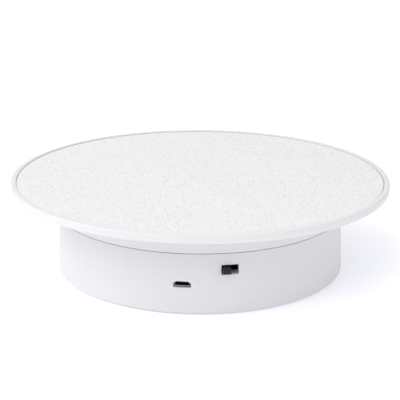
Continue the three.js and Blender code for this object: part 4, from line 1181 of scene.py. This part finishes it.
def screw_head_top(radius, height, steps=48, rings=14):
    """The crowned top of a screw head with a cross recess, as a closed cap.

    At distance r from the axis and angle a the crown's height is the head's height times the square root of
    1 - 0.55 (r / radius) squared. Inside the cross, which is where the distance to the nearer of its two
    arms' centre lines is under the arm's half width, the surface sinks towards a point on the axis.
    """
    share = np.linspace(0, 1, rings)[1:]
    angle = np.linspace(0, 2 * np.pi, steps, endpoint=False)[:, None]
    r = share[None] * radius
    x, y = r * np.cos(angle), r * np.sin(angle)
    crown = np.broadcast_to(height * np.sqrt(1 - 0.55 * share[None] ** 2), x.shape)
    arm_half_width = radius * 0.15
    arm_length = radius * 0.62
    arm_end = radius * 0.1
    side_slope = 1.6
    depth = height * 0.55
    arm = np.minimum(np.abs(x), np.abs(y))
    beside = np.clip(side_slope * (1 - arm / arm_half_width), 0, 1)
    along = np.clip((arm_length - r) / arm_end, 0, 1)
    z = crown - beside * along * depth * (1 - 0.5 * share[None])
    points = np.stack([x, y, z], -1).reshape(-1, 3)
    centre = len(points)
    ring = np.arange(steps) * (rings - 1)
    fan = np.stack([np.full(steps, centre), ring, np.roll(ring, -1)], -1)
    points = np.vstack([points, (0, 0, height - depth)])
    edge = ring + rings - 2
    skirt = points[edge] * (1, 1, 0)
    base = len(points)
    points = np.vstack([points, skirt, (0, 0, 0)])
    below = base + np.arange(steps)
    side = np.stack([edge, below, np.roll(below, -1), np.roll(edge, -1)], -1)
    floor = np.stack([np.full(steps, len(points) - 1), np.roll(below, -1), below], -1)
    quads = np.vstack([grid_quads(steps, rings - 1, True, False)[:, ::-1], side])
    return outward(Surface(points, quads, np.vstack([fan, floor])))


class TURNTABLE_OT_screws(Maker):
    """Make every screw: a crowned head with a cross recess and a shank with a rolled thread"""

    bl_idname = "turntable.screws"
    bl_label = "Screws"

    switch_screw_length = 4.7 * MM
    thread_pitch = 0.9 * MM
    thread_core = 0.86  # the thread's smallest radius over the shank's
    thread_end = 0.86  # where the tip's cone starts, as a share of the length
    # Radius of the head, its height and the radius of the shank, for each kind of screw
    sizes = {
        "cover": (2.8 * MM, COVER_SCREW_HEAD, 1.2 * MM),
        "gearbox": (2.8 * MM, COVER_SCREW_HEAD, 1.2 * MM),
        "platter": (3.4 * MM, 0.8 * MM, 1.2 * MM),
        "board": (2.0 * MM, 1.3 * MM, 0.78 * MM),
        "switch": (1.8 * MM, 1.1 * MM, 0.7 * MM),
    }

    def build(self, scene):
        for node in sorted(BODY_OF_NODE):
            if "screw" in node:
                self.screw(node, node.split("_")[0])

    def screw(self, node, kind):
        """One screw, which points the way its frame node does."""
        if kind == "switch":
            axis = Vector((math.sin(SWITCH_BEARING), -math.cos(SWITCH_BEARING), 0))
            length = self.switch_screw_length
        else:
            axis = Vector((0, 0, -1 if kind in ("platter", "board") else 1))
            length = high(node).z - low(node).z
        head_radius, head_height, shank_radius = self.sizes[kind]
        seat = middle(node) - axis * (length / 2 - head_height)
        turn = Matrix.Translation(seat) @ axis.to_track_quat("Z", "Y").to_matrix().to_4x4()
        head = screw_head_top(head_radius, head_height).moved(Matrix.Rotation(math.pi, 4, "X"))
        shank = self.shank(shank_radius, length - head_height)
        made = mesh_object(f"{node}_piece", together([head, shank]).moved(turn))
        dress(made, "steel", BODY_OF_NODE[node], node)

    def shank(self, radius, length, steps=20):
        """A threaded shank: the radius at height z and angle a rises where z over the pitch meets a."""
        rows = max(8, int(length / self.thread_pitch * 5))
        z = np.linspace(-0.1 * MM, length * self.thread_end, rows)
        angle = np.linspace(0, 2 * np.pi, steps, endpoint=False)
        phase = (z[:, None] / self.thread_pitch - angle[None] / (2 * np.pi)) % 1
        crest = 1 - 2 * np.abs(phase - 0.5)
        r = radius * (self.thread_core + (1 - self.thread_core) * crest)
        height = np.broadcast_to(z[:, None], r.shape)
        outlines = np.stack([r * np.cos(angle), r * np.sin(angle), height], -1)
        tip = np.insert(circle(0.1 * radius, steps), 2, length, axis=1)
        return lofted(np.concatenate([outlines, tip[None]]))


class TURNTABLE_OT_rollers(Maker):
    """Make the four support rollers, each a turned wheel with a shallow groove on either face"""

    bl_idname = "turntable.rollers"
    bl_label = "Rollers"

    half_width = 2.5 * MM
    bore = 1.27 * MM
    edge = 0.5 * MM

    def build(self, scene):
        for number in range(1, 5):
            node = f"support_roller_{number}"
            centre = middle(node)
            turn = about_axis(math.atan2(centre.y, centre.x)) @ Matrix.Rotation(math.pi / 2, 4, "Y")
            wheel = self.wheel(high(node).z - centre.z).moved(Matrix.Translation(centre) @ turn)
            dress(mesh_object(f"roller_{number}", wheel), "gear_plastic", BODY_OF_NODE[node], node)

    def wheel(self, radius):
        """One wheel: half of its section is drawn, from the bore to the tread, and the rest mirrors it."""
        face = -self.half_width
        front = [
            (self.bore, face),
            (radius * 0.42, face),
            (radius * 0.5, face + self.edge),
            (radius * 0.78, face + self.edge),
            (radius * 0.84, face),
            *quarter((radius - self.edge, face + self.edge), self.edge, -90, 0, 5),
        ]
        return revolved(front + [(r, -z) for r, z in reversed(front)], 72)


class TURNTABLE_OT_contacts(Maker):
    """Make the battery contacts: sprung strips with coiled springs and pressed buttons"""

    bl_idname = "turntable.contacts"
    bl_label = "Battery contacts"

    cell_pitch = 15.1 * MM
    axis_height = 10.4 * MM
    thickness = 0.4 * MM
    half_width = 5.5 * MM
    strip_bottom = 4 * MM
    strip_top = 16.6 * MM
    tab_reach = 3.2 * MM
    coil_radius = 4.4 * MM
    coil_taper = 1.8 * MM
    coil_length = 6 * MM
    coil_turns = 3
    coil_wire = 0.4 * MM
    root = 0.3 * MM  # how far fittings and tabs start inside the strip
    corner = 0.1 * MM

    def build(self, scene):
        centre = (BAY_FRONT + BAY_BACK) / 2
        first, second, third = (centre + step * self.cell_pitch for step in (-1, 0, 1))
        self.strip("contact_negative", -1, {first: self.coil}, first)
        self.strip("contact_bridge_left", -1, {second: self.button, third: self.coil})
        self.strip("contact_bridge_right", 1, {first: self.button, second: self.coil})
        self.strip("contact_positive", 1, {third: self.button}, third)

    def strip(self, node, side, fittings, tab=None):
        """One strip against the bay's end wall, where side is -1 at the left and 1 at the right."""
        start = (-self.thickness, min(fittings) - self.half_width, self.strip_bottom)
        end = (0, max(fittings) + self.half_width, self.strip_top)
        pieces = [block(start, end, self.corner)]
        pieces += [shifted(fitting(), -self.root, row, self.axis_height) for row, fitting in fittings.items()]
        if tab is not None:
            tab_end = (self.tab_reach, tab + MM, TAB_BOTTOM + self.thickness)
            pieces.append(block((-self.root, tab - MM, TAB_BOTTOM), tab_end))
        made = together(pieces)
        placed = Surface(made.points * (side, 1, 1) + (side * CONTACT_FACE, 0, 0), made.quads, made.triangles)
        facing_out = placed if side > 0 else placed.flipped()
        dress(mesh_object(f"{node}_piece", facing_out), "nickel", "base", node)

    def coil(self):
        """A conical spring: its radius falls evenly over its turns as it rises off the strip."""
        share = np.linspace(0, 1, 40 * self.coil_turns + 1)
        angle = share * self.coil_turns * 2 * np.pi
        radius = self.coil_radius - self.coil_taper * share
        rise = -self.coil_length * share - self.root
        path = np.stack([rise, radius * np.cos(angle), radius * np.sin(angle)], -1)
        across = np.stack([0 * share, np.cos(angle), np.sin(angle)], -1)[:, None]
        section = circle(self.coil_wire, 10)[None]
        return lofted(path[:, None] + section[..., :1] * across + section[..., 1:] * (1.0, 0.0, 0.0))

    def button(self):
        """A pressed button: a low turned dome on its side."""
        profile = [(0, 0), (3.2 * MM, 0), (2.6 * MM, 0.8 * MM), (2.2 * MM, 1.05 * MM), (0, 1.1 * MM)]
        return revolved(profile, 48).moved(Matrix.Rotation(-math.pi / 2, 4, "Y"))


class TURNTABLE_OT_carried(Maker):
    """Give every frame node that still shows its finish, by its own slot in the record"""

    bl_idname = "turntable.carried"
    bl_label = "Inner works"

    def build(self, scene):
        slots = {entry["node"]: entry["material_slot"] for entry in frame["record"]["subparts"]}
        for name, node in frame["nodes"].items():
            if node.hide_render:
                continue
            node.data.materials.clear()
            node.data.materials.append(finish(slots[name]))


class TURNTABLE_OT_stage(Maker):
    """Set up the pale floor, the soft studio light and the camera"""

    bl_idname = "turntable.stage"
    bl_label = "Stage"

    distance = 0.69
    elevation = math.radians(17.25)
    roll = math.radians(0.276)
    target = Vector((-0.085 * MM, 0, 35.3 * MM))
    focal_share = 3.2225  # focal length over the sensor's width
    sky_colour = (0.97, 0.975, 1.0)

    def build(self, scene):
        scene.view_settings.view_transform = "Standard"
        scene.view_settings.look = "None"
        self.floor(scene)
        self.camera(scene)
        self.sky(scene)
        lights = scene.turntable_lights
        self.lamp("key", (-1.3, 0.1, 1.5), 1.3, lights.key)
        self.lamp("front", (-0.6, -1.15, 1.4), 1.1, lights.front)
        self.lamp("fill", (-1.4, -0.1, 0.5), 1.0, lights.fill, (0.78, 0.84, 1.0))
        self.lamp("side", (1.4, -0.5, 0.5), 0.8, lights.side, (1.0, 0.9, 1.0))

    def floor(self, scene):
        """A flat sheet, large enough to fill the view."""
        reach = 6.0
        corners = np.array([(-reach, -reach, 0), (reach, -reach, 0), (reach, reach, 0), (-reach, reach, 0)])
        floor = mesh_object("floor", Surface(corners, [(0, 1, 2, 3)]))
        paper = studio_floor("floor", scene.turntable_colours.floor, scene.turntable_lights.table)
        floor.data.materials.append(paper)

    def camera(self, scene):
        """A long lens that looks down at the front, turned a little about its own axis."""
        data = bpy.data.cameras.new("camera")
        data.sensor_fit = "HORIZONTAL"
        data.lens = self.focal_share * data.sensor_width
        data.clip_start = 0.01
        camera = bpy.data.objects.new("camera", data)
        scene.collection.objects.link(camera)
        away = Vector((0, -math.cos(self.elevation), math.sin(self.elevation)))
        turn = away.to_track_quat("Z", "Y").to_matrix() @ Matrix.Rotation(self.roll, 3, "Z")
        camera.matrix_world = Matrix.Translation(self.target + away * self.distance) @ turn.to_4x4()
        scene.camera = camera

    def sky(self, scene):
        """Even light that fades from its full brightness straight above to the horizon's at the sides."""
        world = bpy.data.worlds.new("sky")
        world.use_nodes = True
        world.node_tree.nodes.clear()
        sky = Nodes(world.node_tree)
        lights = scene.turntable_lights
        above, aside = (self.background(sky, strength) for strength in (lights.sky, lights.horizon))
        direction = sky.node("ShaderNodeTexCoord")["Generated"]
        height = sky.node("ShaderNodeSeparateXYZ", {}, {"Vector": direction})["Z"]
        blend = sky.node("ShaderNodeMixShader", {}, {0: height, 1: aside, 2: above})["Shader"]
        sky.node("ShaderNodeOutputWorld", {}, {"Surface": blend})
        scene.world = world

    def background(self, sky, strength):
        """A plain sky of one brightness."""
        inputs = {"Color": self.sky_colour, "Strength": strength}
        return sky.node("ShaderNodeBackground", {}, inputs)["Background"]

    def lamp(self, name, place, size, power, colour=(1, 1, 1)):
        """A square soft light that points at the stand."""
        data = bpy.data.lights.new(name, "AREA")
        data.size = size
        data.energy = power
        data.color = colour
        lamp = bpy.data.objects.new(name, data)
        bpy.context.scene.collection.objects.link(lamp)
        away = Vector(place)
        turn = away.to_track_quat("Z", "Y").to_matrix().to_4x4()
        lamp.matrix_world = Matrix.Translation(away) @ turn


MAKERS = (
    TURNTABLE_OT_stage,
    TURNTABLE_OT_platter,
    TURNTABLE_OT_mat,
    TURNTABLE_OT_cover,
    TURNTABLE_OT_drum,
    TURNTABLE_OT_door,
    TURNTABLE_OT_feet,
    TURNTABLE_OT_knob,
    TURNTABLE_OT_port,
    TURNTABLE_OT_screws,
    TURNTABLE_OT_rollers,
    TURNTABLE_OT_contacts,
    TURNTABLE_OT_carried,
)


class TURNTABLE_PT_stand(Panel):
    """Lists the stand's settings and its makers in the 3D view's sidebar"""

    bl_idname = "TURNTABLE_PT_stand"
    bl_label = "Turntable display stand"
    bl_space_type = "VIEW_3D"
    bl_region_type = "UI"
    bl_category = "Turntable"

    def draw(self, context):
        scene = context.scene
        for group in (scene.turntable_sizes, scene.turntable_colours, scene.turntable_lights):
            for name in group.__annotations__:
                self.layout.prop(group, name)
        for maker in MAKERS:
            self.layout.operator(maker.bl_idname)


GROUPS = {
    "turntable_sizes": TurntableSizes,
    "turntable_colours": TurntableColours,
    "turntable_lights": TurntableLights,
}


def register():
    """Registers the settings, the makers and the panel."""
    for name, group in GROUPS.items():
        bpy.utils.register_class(group)
        setattr(bpy.types.Scene, name, PointerProperty(type=group))
    for maker in (*MAKERS, TURNTABLE_PT_stand):
        bpy.utils.register_class(maker)


def unregister():
    """Takes out everything that register put in."""
    for maker in (TURNTABLE_PT_stand, *reversed(MAKERS)):
        bpy.utils.unregister_class(maker)
    for name, group in reversed(GROUPS.items()):
        delattr(bpy.types.Scene, name)
        bpy.utils.unregister_class(group)


def main():
    """Makes the stand piece by piece."""
    register()
    for maker in MAKERS:
        getattr(bpy.ops.turntable, maker.bl_idname.split(".")[1])()


if __name__ == "__main__":
    main()
